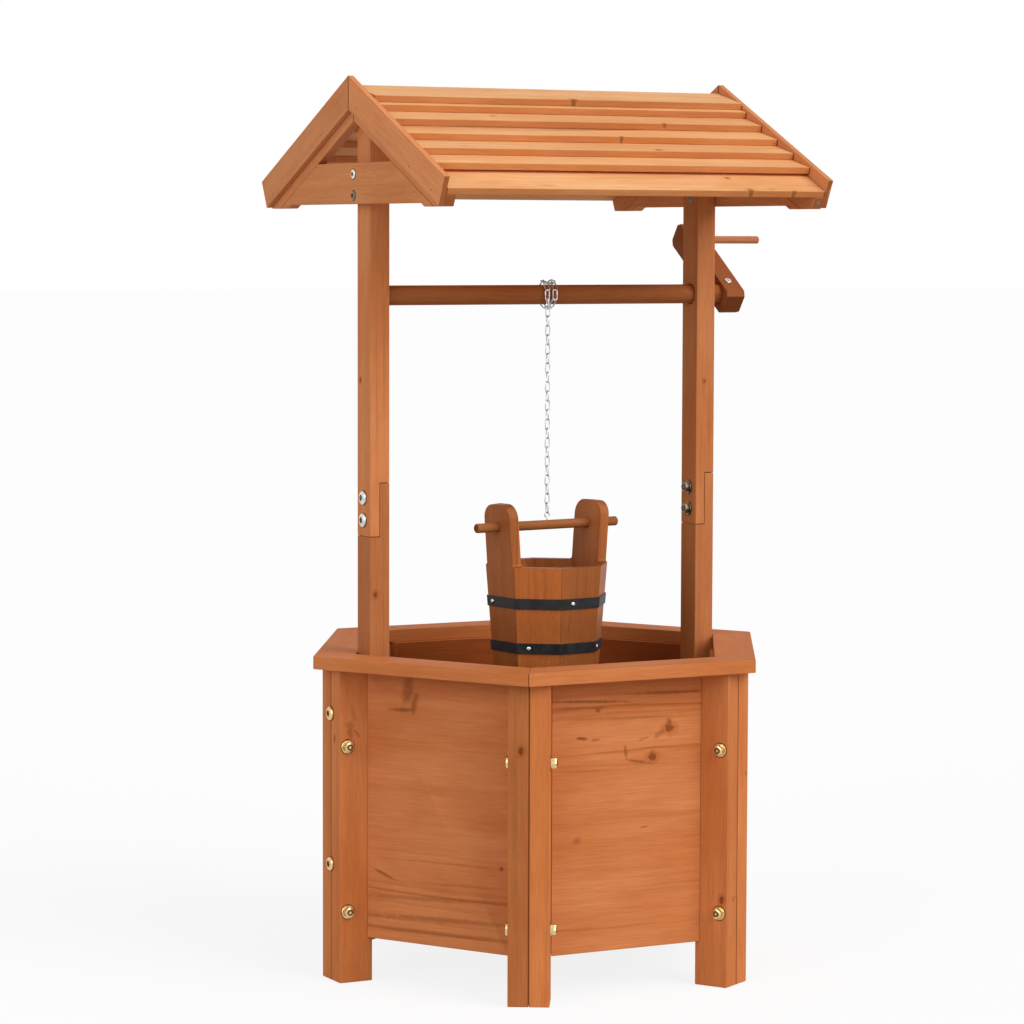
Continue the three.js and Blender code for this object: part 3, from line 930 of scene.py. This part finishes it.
def board_lay(node):
    """Directions of a board's length and width, its ring pitch and the depth of its pith"""
    side = next((s for s in SIDES if node in (f"panel_{s}", f"rim_{s}")), None)
    if side:
        turn = (SIDES.index(side) + 0.5) * LEG_TURN
        width = Z if node.startswith("panel") else -polar(turn)
        return polar(turn + math.pi / 2), width, 4.4, 60
    if node.startswith("leg_strip"):
        side, end = node[len("leg_strip_"):].rsplit("_", 1)
        return Z, polar((SIDES.index(side) + (0 if end == "1" else 1)) * LEG_TURN), 3.6, 60
    if node.startswith(("barge_board", "rafter_pair")):
        run = roof_run(-1 if node in FRONT_BARGE_BOARDS else 1)
        return run, X.cross(run), 4.2, 40
    if node.startswith("tie_beam"):
        return Y, Z, 5.2, 30
    if node.startswith("roof_slat"):
        return X, roof_run(1 if "rear" in node else -1), 4.8, 36
    if node.startswith("post"):
        return Z, Y, 4.0, 50
    if node == "crank_arm":
        return about_x(ARM_TILT), X, 4.0, 30
    return X, Y, 6.0, 50


def board_painted_shades(node, along, across):
    """Painted shade: faces inside the box and between the posts are darker, and so are the slats'
    lower edges
    """
    if node.startswith("panel"):
        return ((across.cross(along), INSIDE_BOX_SHADE),)
    if node.startswith("post"):
        return ((-X if node.endswith("right") else X, BETWEEN_POSTS_SHADE),)
    if node.startswith("roof_slat"):
        return ((across, UNDER_SLAT_SHADE),)
    return ()


def board_grain(node, seed):
    along, across, pitch, pith = board_lay(node)
    grain = Grain(along, across, middle_of(node), pitch * (0.86 + 0.07 * (seed * 3 % 5)), pith)
    grain.knots = KNOTS.get(node, ())
    grain.marks = MARKS.get(node, ())
    grain.edge_knots = EDGE_KNOTS.get(node, ())
    grain.edge_marks = EDGE_MARKS.get(node, ())
    grain.strong = STRONG_LINES.get(node, grain.strong)
    grain.folded = node.startswith("rafter_pair")
    grain.mitred = node.startswith(("rafter_pair", "barge_board"))
    if node.startswith("roof_slat"):
        grain.pith_side = 48.0 if seed % 2 else -48.0
    if node.startswith("leg_strip"):
        grain.joint = -1 if node.endswith("1") else 1
    grain.shades = board_painted_shades(node, along, across)
    return grain


class WELL_OT_boards(bpy.types.Operator):
    """Gives every board its stained fir and rounded edges"""

    bl_idname = "well.boards"
    bl_label = "Boards"

    def execute(self, context):
        stain = context.scene.well_stain
        boards = sorted(name for name in NODES if not name.startswith(NOT_BOARDS))
        for seed, node in enumerate(boards):
            base = next(getattr(stain, part) for start, part in STAIN_OF.items()
                        if node.startswith(start))
            # A board's tone, and for the box floor its painted shade
            tint = BOARD_TONES_AND_SHADE.get(node, 0.96 + 0.02 * (seed * 7 % 5))
            finish = fir(f"fir_{node}", toned(base, tint), seed + 1, board_grain(node, seed))
            crisp = node.startswith("barge_board")
            dress(node, finish, stain.crisp_round if crisp else stain.edge_round)
        return {"FINISHED"}


# Windlass


def turned_along_x(node, chamfer, steps):
    """A smooth rod in place of a CAD one which runs along X"""
    low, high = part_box(node)
    rod = rod_shape((high.z - low.z) / 2, high.x - low.x, chamfer, steps)
    return placed(rod, facing((low.x, (low.y + high.y) / 2, (low.z + high.z) / 2), X))


class WELL_OT_windlass(bpy.types.Operator):
    """Turns the rod and the crank peg, and drives in the crank's screw"""

    bl_idname = "well.windlass"
    bl_label = "Rod and crank"

    def execute(self, context):
        stain = context.scene.well_stain
        rod = turned_along_x("windlass_rod", 0.8 * MM, 48)
        grain = Grain(X, Y, (0, 0, ROD_HEIGHT), 3.4, 14)
        finish = fir("fir_rod", stain.windlass, 71, grain, contrast=0.8, rough=0.5)
        piece = piece_from(rod, "turned_rod", "windlass", finish, smooth=40)
        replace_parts(piece, "windlass_rod")
        peg = turned_along_x("crank_peg", 0.5 * MM, 28)
        finish = fir("fir_peg", stain.peg, 72, Grain(X, Y, middle_of("crank_peg"), 2.6, 12))
        piece = piece_from(peg, "turned_peg", "windlass", finish, smooth=40)
        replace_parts(piece, "crank_peg")
        self.drive_screw(context.scene.well_fastener)
        return {"FINISHED"}

    def drive_screw(self, fastener):
        """The screw stands on the arm's upper narrow edge and holds it on the rod"""
        upward, along = about_x(ARM_TILT + math.pi / 2), about_x(ARM_TILT)
        face = Vector((middle_of("crank_arm").x - 1 * MM, 0, ROD_HEIGHT))
        face += upward * ARM_HALF_WIDTH + along * 3 * MM
        profile = ((0, 0), (3.5, 0), (3.5, 0.7), (3.1, 1.1), (1.3, 1.1), (1.3, 0.1), (0, 0.1))
        screw = turned([(radius * MM, height * MM) for radius, height in profile])
        fitting(placed(screw, facing(face, upward)), "crank_screw",
                metal("zinc_crank_screw", fastener.zinc, 0.25), "windlass")


# Chain


def link_shape(chain):
    """A long link lying in XY with its length along X, made from a ring drawn apart"""
    bends = 16
    bm = wire_ring(chain.wire_radius, chain.link_width / 2 - chain.wire_radius, bends)
    placed(bm, Matrix.Rotation(math.pi / bends, 4, "Z"))
    spread = (chain.link_length - chain.link_width) / 2
    for vert in bm.verts:
        vert.co.x += math.copysign(spread, vert.co.x)
    bmesh.ops.recalc_face_normals(bm, faces=bm.faces)
    return bm


class WELL_OT_chain(bpy.types.Operator):
    """Winds the chain on the rod and hangs the rest of it, with the screw eye in the dowel"""

    bl_idname = "well.chain"
    bl_label = "Chain"

    def execute(self, context):
        chain = context.scene.well_chain
        bright = metal("bright_chain", (0.70, 0.70, 0.70), 0.22)
        link = link_shape(chain)
        pitch = chain.link_length - 4 * chain.wire_radius + chain.link_bite
        self.wind(chain, link, pitch, bright)
        self.hang(chain, link, pitch, bright)
        self.screw_eye(chain, bright)
        return {"FINISHED"}

    def wind(self, chain, link, pitch, bright):
        """Lays links round the rod, of which every other one leans"""
        radius = ROD_RADIUS + chain.link_width / 2 + 0.3 * MM
        step = 2 * math.pi / round(math.pi / math.atan2(pitch / 2, radius))
        lean = math.radians(42)
        bm = bmesh.new()
        for index in range(chain.wound):
            around = math.pi - index * step
            outward = about_x(around)
            place = Matrix((about_x(around + math.pi / 2), X, outward)).transposed().to_4x4()
            place.translation = outward * radius + Vector((
                CHAIN_SPOT.x + index * step / (2 * math.pi) * chain.turn_pitch, 0, ROD_HEIGHT))
            add_to(bm, link, place @ Matrix.Rotation(lean if index % 2 else 0, 4, "X"))
        piece = piece_from(bm, "wound_chain", "windlass", bright, smooth=80)
        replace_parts(piece, "chain_winding")

    def hang(self, chain, link, pitch, bright):
        """Hangs links from the rod down to the screw eye, each a quarter turn from the last"""
        last = CHAIN_HIGH.z - chain.link_length / 2 - (chain.hanging - 1) * pitch
        pitch = (CHAIN_HIGH.z - last) / chain.hanging
        first = CHAIN_HIGH.z - pitch
        upright = Matrix.Rotation(math.pi / 2, 4, "Y")
        bm = bmesh.new()
        for index in range(chain.hanging):
            place = Matrix.Translation((*CHAIN_SPOT, first - index * pitch)) @ upright
            add_to(bm, link, place @ Matrix.Rotation((index % 2) * math.pi / 2, 4, "X"))
        piece = piece_from(bm, "free_chain", None, bright, smooth=80)
        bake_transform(piece)
        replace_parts(piece, "hanging_chain")

    def screw_eye(self, chain, bright):
        height = CHAIN_LOW.z + chain.eye_radius + chain.wire_radius + 1.8 * MM
        ring = wire_ring(chain.wire_radius, chain.eye_radius, 20)
        placed(ring, Matrix.Translation((*CHAIN_SPOT, height)) @ Matrix.Rotation(
            -math.pi / 2, 4, "X"))
        shank = rod_shape(chain.wire_radius, 3.2 * MM, 0.1 * MM, 12)
        add_to(ring, shank, Matrix.Translation((*CHAIN_SPOT, CHAIN_LOW.z - 1.0 * MM)))
        piece_from(ring, "dowel_screw_eye", "bucket", bright, smooth=60)


# Bucket

# Tone of each stave; the front stave's 1.26 also holds a painted highlight
STAVE_TONES_AND_HIGHLIGHT = (0.96, 0.92, 1.00, 0.84, 0.86, 1.26, 0.84, 0.90)
# Painted shade: the staves darken towards the bottom, where the box shades them, and most at the
# foot
PAINTED_STAVE_SHADE = ((-34, 0, 36, 0.8, 0, 0.30, 0.7), (-58, 0, 9, 3, 90, 0.30, 0.8))
STAVE_MARKS = {
    5: ((12, -9, 1.3, 24, 0, 0.30, 0.8), (-10, -2.5, 1.6, 20, 0, 0.26, 0.8),
        (10, 6.5, 1.8, 18, 0, 0.26, 0.8), (-22, 11, 1.4, 20, 0, 0.34, 0.8)),
    6: ((-16, -11.5, 1.0, 16, 0, 0.55, 0.7), (2, -4, 1.6, 24, 0, 0.28, 0.8),
        (-8, 6, 2.0, 20, 0, 0.24, 0.8)),
}
FLOOR_THICKNESS = 7.0 * MM
FLOOR_MIDDLE = 9.5 * MM
# A nail's stave, and its share of the way from the stave's middle to its edge
HOOP_NAILS = {
    "bucket_hoop_lower": ((5, -0.44), (7, -0.86), (2, 0.3), (0, 0.5)),
    "bucket_hoop_upper": ((4, -0.60), (6, -0.40), (1, 0.4), (2, -0.3)),
}


def bucket_way(turn, radius=1.0):
    return polar(BUCKET_TURN + turn, radius)


def bucket_point(turn, radius, height):
    """A point about the bucket's upright axis, in the bucket's own turn"""
    return Vector((*CHAIN_SPOT, BUCKET_FOOT + height)) + bucket_way(turn, radius)


def trim(bm, place, normal):
    """Cuts off what lies beyond a plane and closes the cut"""
    bmesh.ops.bisect_plane(
        bm, geom=[*bm.verts, *bm.edges, *bm.faces], dist=1e-7, plane_co=place,
        plane_no=normal, clear_outer=True)
    rims = [edge for edge in bm.edges if edge.is_boundary]
    bmesh.ops.holes_fill(bm, edges=rims, sides=0)


class WELL_OT_bucket(bpy.types.Operator):
    """Splits the tub into staves, lays its floor, and fits the dowel and the hoops"""

    bl_idname = "well.bucket"
    bl_label = "Bucket"

    def execute(self, context):
        bucket, stain = context.scene.well_bucket, context.scene.well_stain.bucket
        pieces = [self.stave(index, bucket, stain) for index in range(STAVES)]
        pieces.append(self.floor(stain))
        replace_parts(pieces[0], "bucket_tub")
        self.dowel(stain)
        for node in HOOP_NAILS:
            dress(node, black_paint(f"paint_{node}", bucket.steel), 0.25 * MM)
            self.hoop_nails(node, bucket, context.scene.well_fastener)
        return {"FINISHED"}

    def stave(self, index, bucket, stain):
        bm = bmesh.new()
        bm.from_mesh(NODES["bucket_tub"].data)
        bmesh.ops.remove_doubles(bm, verts=bm.verts, dist=1e-6)
        face = index * STAVE_TURN
        for side in (-1, 1):
            normal = bucket_way(face + side * (STAVE_TURN / 2 + math.pi / 2))
            trim(bm, bucket_point(0, 0, 0) - normal * bucket.seam / 2, normal)
        inner = bucket_point(face, BASE_APOTHEM - STAVE_THICKNESS - 0.1 * MM, 0)
        trim(bm, inner, Z * math.sin(TAPER) - bucket_way(face, math.cos(TAPER)))
        bmesh.ops.dissolve_limit(
            bm, angle_limit=math.radians(0.6), verts=bm.verts, edges=bm.edges)
        grain = Grain(Z, bucket_way(face + math.pi / 2),
                      bucket_point(face, BASE_APOTHEM, 60 * MM), 3.0 + 0.3 * (index % 3), 90)
        # Painted shade low on each stave, then its streaks
        grain.marks = (*PAINTED_STAVE_SHADE, *STAVE_MARKS.get(index, ()))
        # The stave's tone, with a painted highlight on the front stave
        finish = fir(f"fir_stave_{index + 1}", toned(stain, STAVE_TONES_AND_HIGHLIGHT[index]), 80 + index,
                     grain, contrast=1.5, rough=0.48, sheen=0.16)
        piece = piece_from(bm, f"stave_{index + 1}", "bucket", finish)
        soften(piece, bucket.edge_round)
        return piece

    def floor(self, stain):
        radius = (BASE_APOTHEM - STAVE_THICKNESS + 0.2 * MM) / math.cos(STAVE_TURN / 2)
        bm = prism(STAVES, radius, -FLOOR_THICKNESS / 2, FLOOR_THICKNESS / 2)
        placed(bm, Matrix.Translation(bucket_point(0, 0, FLOOR_MIDDLE)) @ Matrix.Rotation(
            BUCKET_TURN + STAVE_TURN / 2, 4, "Z"))
        grain = Grain(bucket_way(0), bucket_way(math.pi / 2), bucket_point(0, 0, 0))
        finish = fir("fir_bucket_floor", stain, 95, grain)
        piece = piece_from(bm, "bucket_floor_board", "bucket", finish)
        soften(piece, 0.6 * MM)
        return piece

    def dowel(self, stain):
        centre = middle_of("bucket_dowel")
        run = bucket_way(0)
        low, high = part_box("bucket_dowel")
        half = (high.x - low.x) / 2 / math.cos(BUCKET_TURN) - 0.6 * MM
        bm = rod_shape((high.z - low.z) / 2, 2 * half, 0.9 * MM, 32)
        placed(bm, facing(centre - run * half, run))
        finish = fir("fir_dowel", shade_of(stain, (0.80, 0.90, 1.2)), 97,
                     Grain(run, Z, centre, 2.8, 12))
        piece = piece_from(bm, "bucket_cross_dowel", "bucket", finish, smooth=40)
        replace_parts(piece, "bucket_dowel")

    def hoop_nails(self, node, bucket, fastener):
        height = middle_of(node).z - BUCKET_FOOT
        reach = BASE_APOTHEM + height * math.tan(TAPER) + 1.3 * MM
        half = reach * math.tan(STAVE_TURN / 2)
        head = domed_head(bucket.nail_radius, 1.3 * MM)
        bm = bmesh.new()
        for stave_number, share in HOOP_NAILS[node]:
            face = stave_number * STAVE_TURN
            place = bucket_point(face, reach - 0.1 * MM, height)
            place += bucket_way(face + math.pi / 2, share * half)
            add_to(bm, head, facing(place, bucket_way(face), 0.6 * stave_number))
        name = node.replace("bucket_hoop", "hoop_nails")
        fitting(bm, name, metal(f"zinc_{name}", fastener.zinc, 0.28), "bucket")


# Bolts, nuts and nails: heights above the ground and distances are in millimetres

HEAD_HEIGHT = 3.4
LEG_BOLT_REACH, LEG_HALF_WIDTH = 209.8, 19
# The side of each leg that the nuts are on, anticlockwise positive
LEG_NUT_SIDES = (1, 1, 1, 1, 1, -1)
LEG_UPPER_BOLTS = 221.4
LEG_LOWER_BOLTS = (68, 67, 68, 66.8, 70, 69.4)
POST_HEAD_REACH, POST_NUT_REACH = 218, 164.4
POST_BOLTS = {"upper": 250.8, "lower": 109.7}
LAP_BOLTS = {"upper": 450.4, "lower": 429.6}
TIE_BOLTS = {"upper": 749.7, "lower": 730.1}
TIE_HEAD_RADIUS, TIE_HEAD_HEIGHT = 4.4, 1.5
# Each barge nail's distance from the ridge down the slope, and from the roof's top
BARGE_NAILS = ((28, 21), (78, 22), (104, 20), (152, 22), (202, 22))
GABLES = (("left", -1), ("right", 1))


class WELL_OT_fasteners(bpy.types.Operator):
    """Fits the bolts of the legs, posts, laps and tie beams, and the nails of the roof"""

    bl_idname = "well.fasteners"
    bl_label = "Fasteners"

    def execute(self, context):
        fastener = context.scene.well_fastener
        brass = metal("brass_plate", fastener.brass, 0.18)
        zinc = metal("zinc_plate", fastener.zinc, 0.28)
        dull = metal("dull_zinc_plate", fastener.dark_zinc, 0.34)
        head = bolt_head(fastener.head_radius, HEAD_HEIGHT * MM)
        nut = nut_stack(fastener)
        insert = (washer(4.6 * MM, 1.6 * MM, 0.5 * MM), None)
        shades = bmesh.new()
        self.leg_bolts(head, nut, brass, shades)
        self.post_bolts(head, nut, brass, shades)
        self.lap_bolts(head, nut, insert, zinc, dull, shades)
        self.tie_bolts(insert, zinc, dull, shades)
        self.roof_nails(dull)
        # Painted shade round and inside the fasteners, as one piece of dark rings
        piece_from(shades, "bolt_shades", "frame", metal(
            "bolt_shade", (0.165, 0.085, 0.036), 0.60))
        return {"FINISHED"}

    def bolt(self, name, finish, shades, *ends):
        """Makes one piece of a bolt's two ends. An end is a shape and its painted shade, and a
        placing.
        """
        bm = bmesh.new()
        for (shape, shade), face in ends:
            add_to(bm, shape, face)
            if shade:
                add_to(shades, shade, face)
        fitting(bm, name, finish)

    def leg_bolts(self, head, nut, brass, shades):
        """Two bolts go through both strips of each leg"""
        for corner, nut_side in enumerate(LEG_NUT_SIDES):
            turn = corner * LEG_TURN
            nut_way = polar(turn + math.pi / 2) * nut_side
            for level, height in (("upper", LEG_UPPER_BOLTS), ("lower", LEG_LOWER_BOLTS[corner])):
                spot = Vector((WELL_X, 0, height * MM)) + polar(turn, LEG_BOLT_REACH * MM)
                out = nut_way * LEG_HALF_WIDTH * MM
                self.bolt(f"leg_bolt_{corner + 1}_{level}", brass, shades,
                          (nut, facing(spot + out, nut_way, 0.4 * corner)),
                          (head, facing(spot - out, -nut_way, 0.7)))

    def post_bolts(self, head, nut, brass, shades):
        """Two bolts go through each side leg's seam into the post's foot"""
        for name, corner in (("right", 0), ("left", 3)):
            outward = polar(corner * LEG_TURN)
            for level, height in POST_BOLTS.items():
                spot = Vector((WELL_X, 0, height * MM))
                outer = facing(spot + outward * POST_HEAD_REACH * MM, outward, 0.5)
                inner = facing(spot + outward * POST_NUT_REACH * MM, -outward, 0.3)
                self.bolt(f"post_bolt_{name}_{level}", brass, shades, (head, outer),
                          ((nut[0], None), inner))

    def lap_bolts(self, head, nut, insert, zinc, dull, shades):
        """Two bolts go through each post's lap along X"""
        for name, outer_end, inner_end, finish, turn in (
                ("left", head, insert, zinc, 0.2), ("right", nut, head, dull, 0.5)):
            low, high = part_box(f"post_upper_{name}")
            for level, height in LAP_BOLTS.items():
                self.bolt(f"lap_bolt_{name}_{level}", finish, shades,
                          (outer_end, facing((low.x, 0, height * MM), -X, turn)),
                          (inner_end, facing((high.x, 0, height * MM), X, 0.2)))

    def tie_bolts(self, insert, zinc, dull, shades):
        """Two bolts go through each tie beam into the post"""
        head = bolt_head(TIE_HEAD_RADIUS * MM, TIE_HEAD_HEIGHT * MM)
        for name, way in GABLES:
            side = 0 if way < 0 else 1
            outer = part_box(f"tie_beam_{name}")[side].x
            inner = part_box(f"post_upper_{name}")[1 - side].x
            for level, height in TIE_BOLTS.items():
                self.bolt(f"tie_bolt_{name}_{level}", zinc if level == "upper" else dull, shades,
                          (head, facing((outer, 0, height * MM), X * way, 0.35)),
                          (insert, facing((inner, 0, height * MM), X * -way, 0.2)))

    def roof_nails(self, finish):
        """Small nails hold the barge boards, and one stands in each right rafter's lower end"""
        head = domed_head(0.9 * MM, 0.3 * MM, socket=False)
        for gable, way in GABLES:
            for number, tilt in ((1, way), (2, -way)):
                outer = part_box(f"barge_board_{gable}_{number}")[0 if way < 0 else 1].x
                down = Vector((0, -tilt * math.sin(ROOF_FALL), -math.cos(ROOF_FALL)))
                bm = bmesh.new()
                for distance, drop in BARGE_NAILS:
                    place = Vector((outer, 0, CAD_BOX[1].z)) + roof_run(tilt) * distance * MM
                    add_to(bm, head, facing(place + down * drop * MM, X * way, distance))
                fitting(bm, f"barge_nails_{gable}_{number}", finish)
        low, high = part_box("rafter_pair_right")
        large = domed_head(1.9 * MM, 0.5 * MM)
        bm = bmesh.new()
        for tilt in (-1, 1):
            end = Vector(((low.x + high.x) / 2, tilt * (high.y - 2.4 * MM), low.z + 5.1 * MM))
            add_to(bm, large, facing(end, roof_run(tilt)))
        fitting(bm, "rafter_nails_right", finish)


# Stage

WHITE = (1.0, 1.0, 1.0)
FLOOR_GLOW = 0.86


class WELL_OT_stage(bpy.types.Operator):
    """Sets up the camera, the lamps, the pale floor and the white surroundings"""

    bl_idname = "well.stage"
    bl_label = "Stage"

    def execute(self, context):
        stage = context.scene.well_stage
        context.scene.view_settings.view_transform = "Standard"
        self.camera(context, stage)
        self.lamp("key_lamp", (0.38, -0.74, 0.56), 50, stage.key)
        self.lamp("fill_lamp", (-0.86, -0.36, 0.36), 45, stage.fill)
        self.surroundings(context, stage)
        self.floor(stage)
        return {"FINISHED"}

    def camera(self, context, stage):
        back = Vector((
            math.sin(stage.azimuth) * math.cos(stage.elevation),
            -math.cos(stage.azimuth) * math.cos(stage.elevation),
            math.sin(stage.elevation),
        ))
        level = polar(stage.azimuth)
        rise = back.cross(level)
        right = level * math.cos(stage.roll) + rise * math.sin(stage.roll)
        up = rise * math.cos(stage.roll) - level * math.sin(stage.roll)
        aim = Vector((WELL_X, 0, stage.aim_height)) - level * stage.aim_side
        data = bpy.data.cameras.new("photo_camera")
        data.sensor_width = 36
        data.lens = stage.focal
        data.clip_end = 50
        camera = linked("photo_camera", data)
        place = Matrix((right, up, back)).transposed().to_4x4()
        place.translation = aim + back * stage.distance
        camera.matrix_world = place
        context.scene.camera = camera

    def lamp(self, name, towards, spread, strength):
        """A wide distant lamp. Spread is the angle that it fills, in degrees."""
        data = bpy.data.lights.new(name, "SUN")
        data.energy = strength
        data.angle = math.radians(spread)
        linked(name, data).matrix_world = facing(Vector(towards) * 4, towards)

    def surroundings(self, context, stage):
        """White to look at, and an even light on everything else"""
        world = bpy.data.worlds.new("studio")
        context.scene.world = world
        world.use_nodes = True
        world.node_tree.nodes.clear()
        net = Wiring(world.node_tree)
        even, white = (
            net.add("ShaderNodeBackground", {"Color": WHITE, "Strength": strength})[0]
            for strength in (stage.sky, 1.0))
        both = net.add("ShaderNodeMixShader", {0: seen_directly(net), 1: even, 2: white})
        net.add("ShaderNodeOutputWorld", {"Surface": both[0]})

    def floor(self, stage):
        """A floor that looks nearly white and still takes the well's shadow"""
        bm = bmesh.new()
        bmesh.ops.create_grid(bm, x_segments=1, y_segments=1, size=40)
        placed(bm, Matrix.Translation((WELL_X, 0, -0.5 * MM)))
        floor = linked("studio_floor", mesh_from(bm, "studio_floor"))
        material, net = new_material("pale_floor")
        lit = net.principled({
            "Base Color": tuple(stage.floor_colour), "Roughness": 0.9,
            "Specular IOR Level": 0.1})
        white = net.add("ShaderNodeBsdfDiffuse", {"Color": WHITE})[0]
        glow = net.add("ShaderNodeEmission", {"Color": WHITE})[0]
        seen = net.add("ShaderNodeMixShader", {0: FLOOR_GLOW, 1: white, 2: glow})[0]
        net.show(net.add("ShaderNodeMixShader", {
            0: seen_directly(net), 1: lit, 2: seen})[0])
        floor.data.materials.append(material)


class WELL_PT_panel(bpy.types.Panel):
    """Lists the steps that dress the well"""

    bl_label = "Wishing Well"
    bl_idname = "WELL_PT_panel"
    bl_space_type = "VIEW_3D"
    bl_region_type = "UI"
    bl_category = "Well"

    def draw(self, context):
        for step in STEPS:
            self.layout.operator(step.bl_idname)
        for name, group in SETTINGS.items():
            box = self.layout.box()
            box.label(text=group.__doc__)
            for prop in group.__annotations__:
                box.prop(getattr(context.scene, name), prop)


STEPS = (
    WELL_OT_stage, WELL_OT_boards, WELL_OT_windlass, WELL_OT_chain, WELL_OT_bucket,
    WELL_OT_fasteners,
)


def register():
    for kind in (*SETTINGS.values(), *STEPS, WELL_PT_panel):
        bpy.utils.register_class(kind)
    for name, group in SETTINGS.items():
        setattr(bpy.types.Scene, name, PointerProperty(type=group))


def unregister():
    for name in SETTINGS:
        delattr(bpy.types.Scene, name)
    for kind in reversed((*SETTINGS.values(), *STEPS, WELL_PT_panel)):
        bpy.utils.unregister_class(kind)


def main():
    register()
    bpy.ops.well.stage()
    bpy.ops.well.boards()
    bpy.ops.well.windlass()
    bpy.ops.well.chain()
    bpy.ops.well.bucket()
    bpy.ops.well.fasteners()


if __name__ == "__main__":
    main()
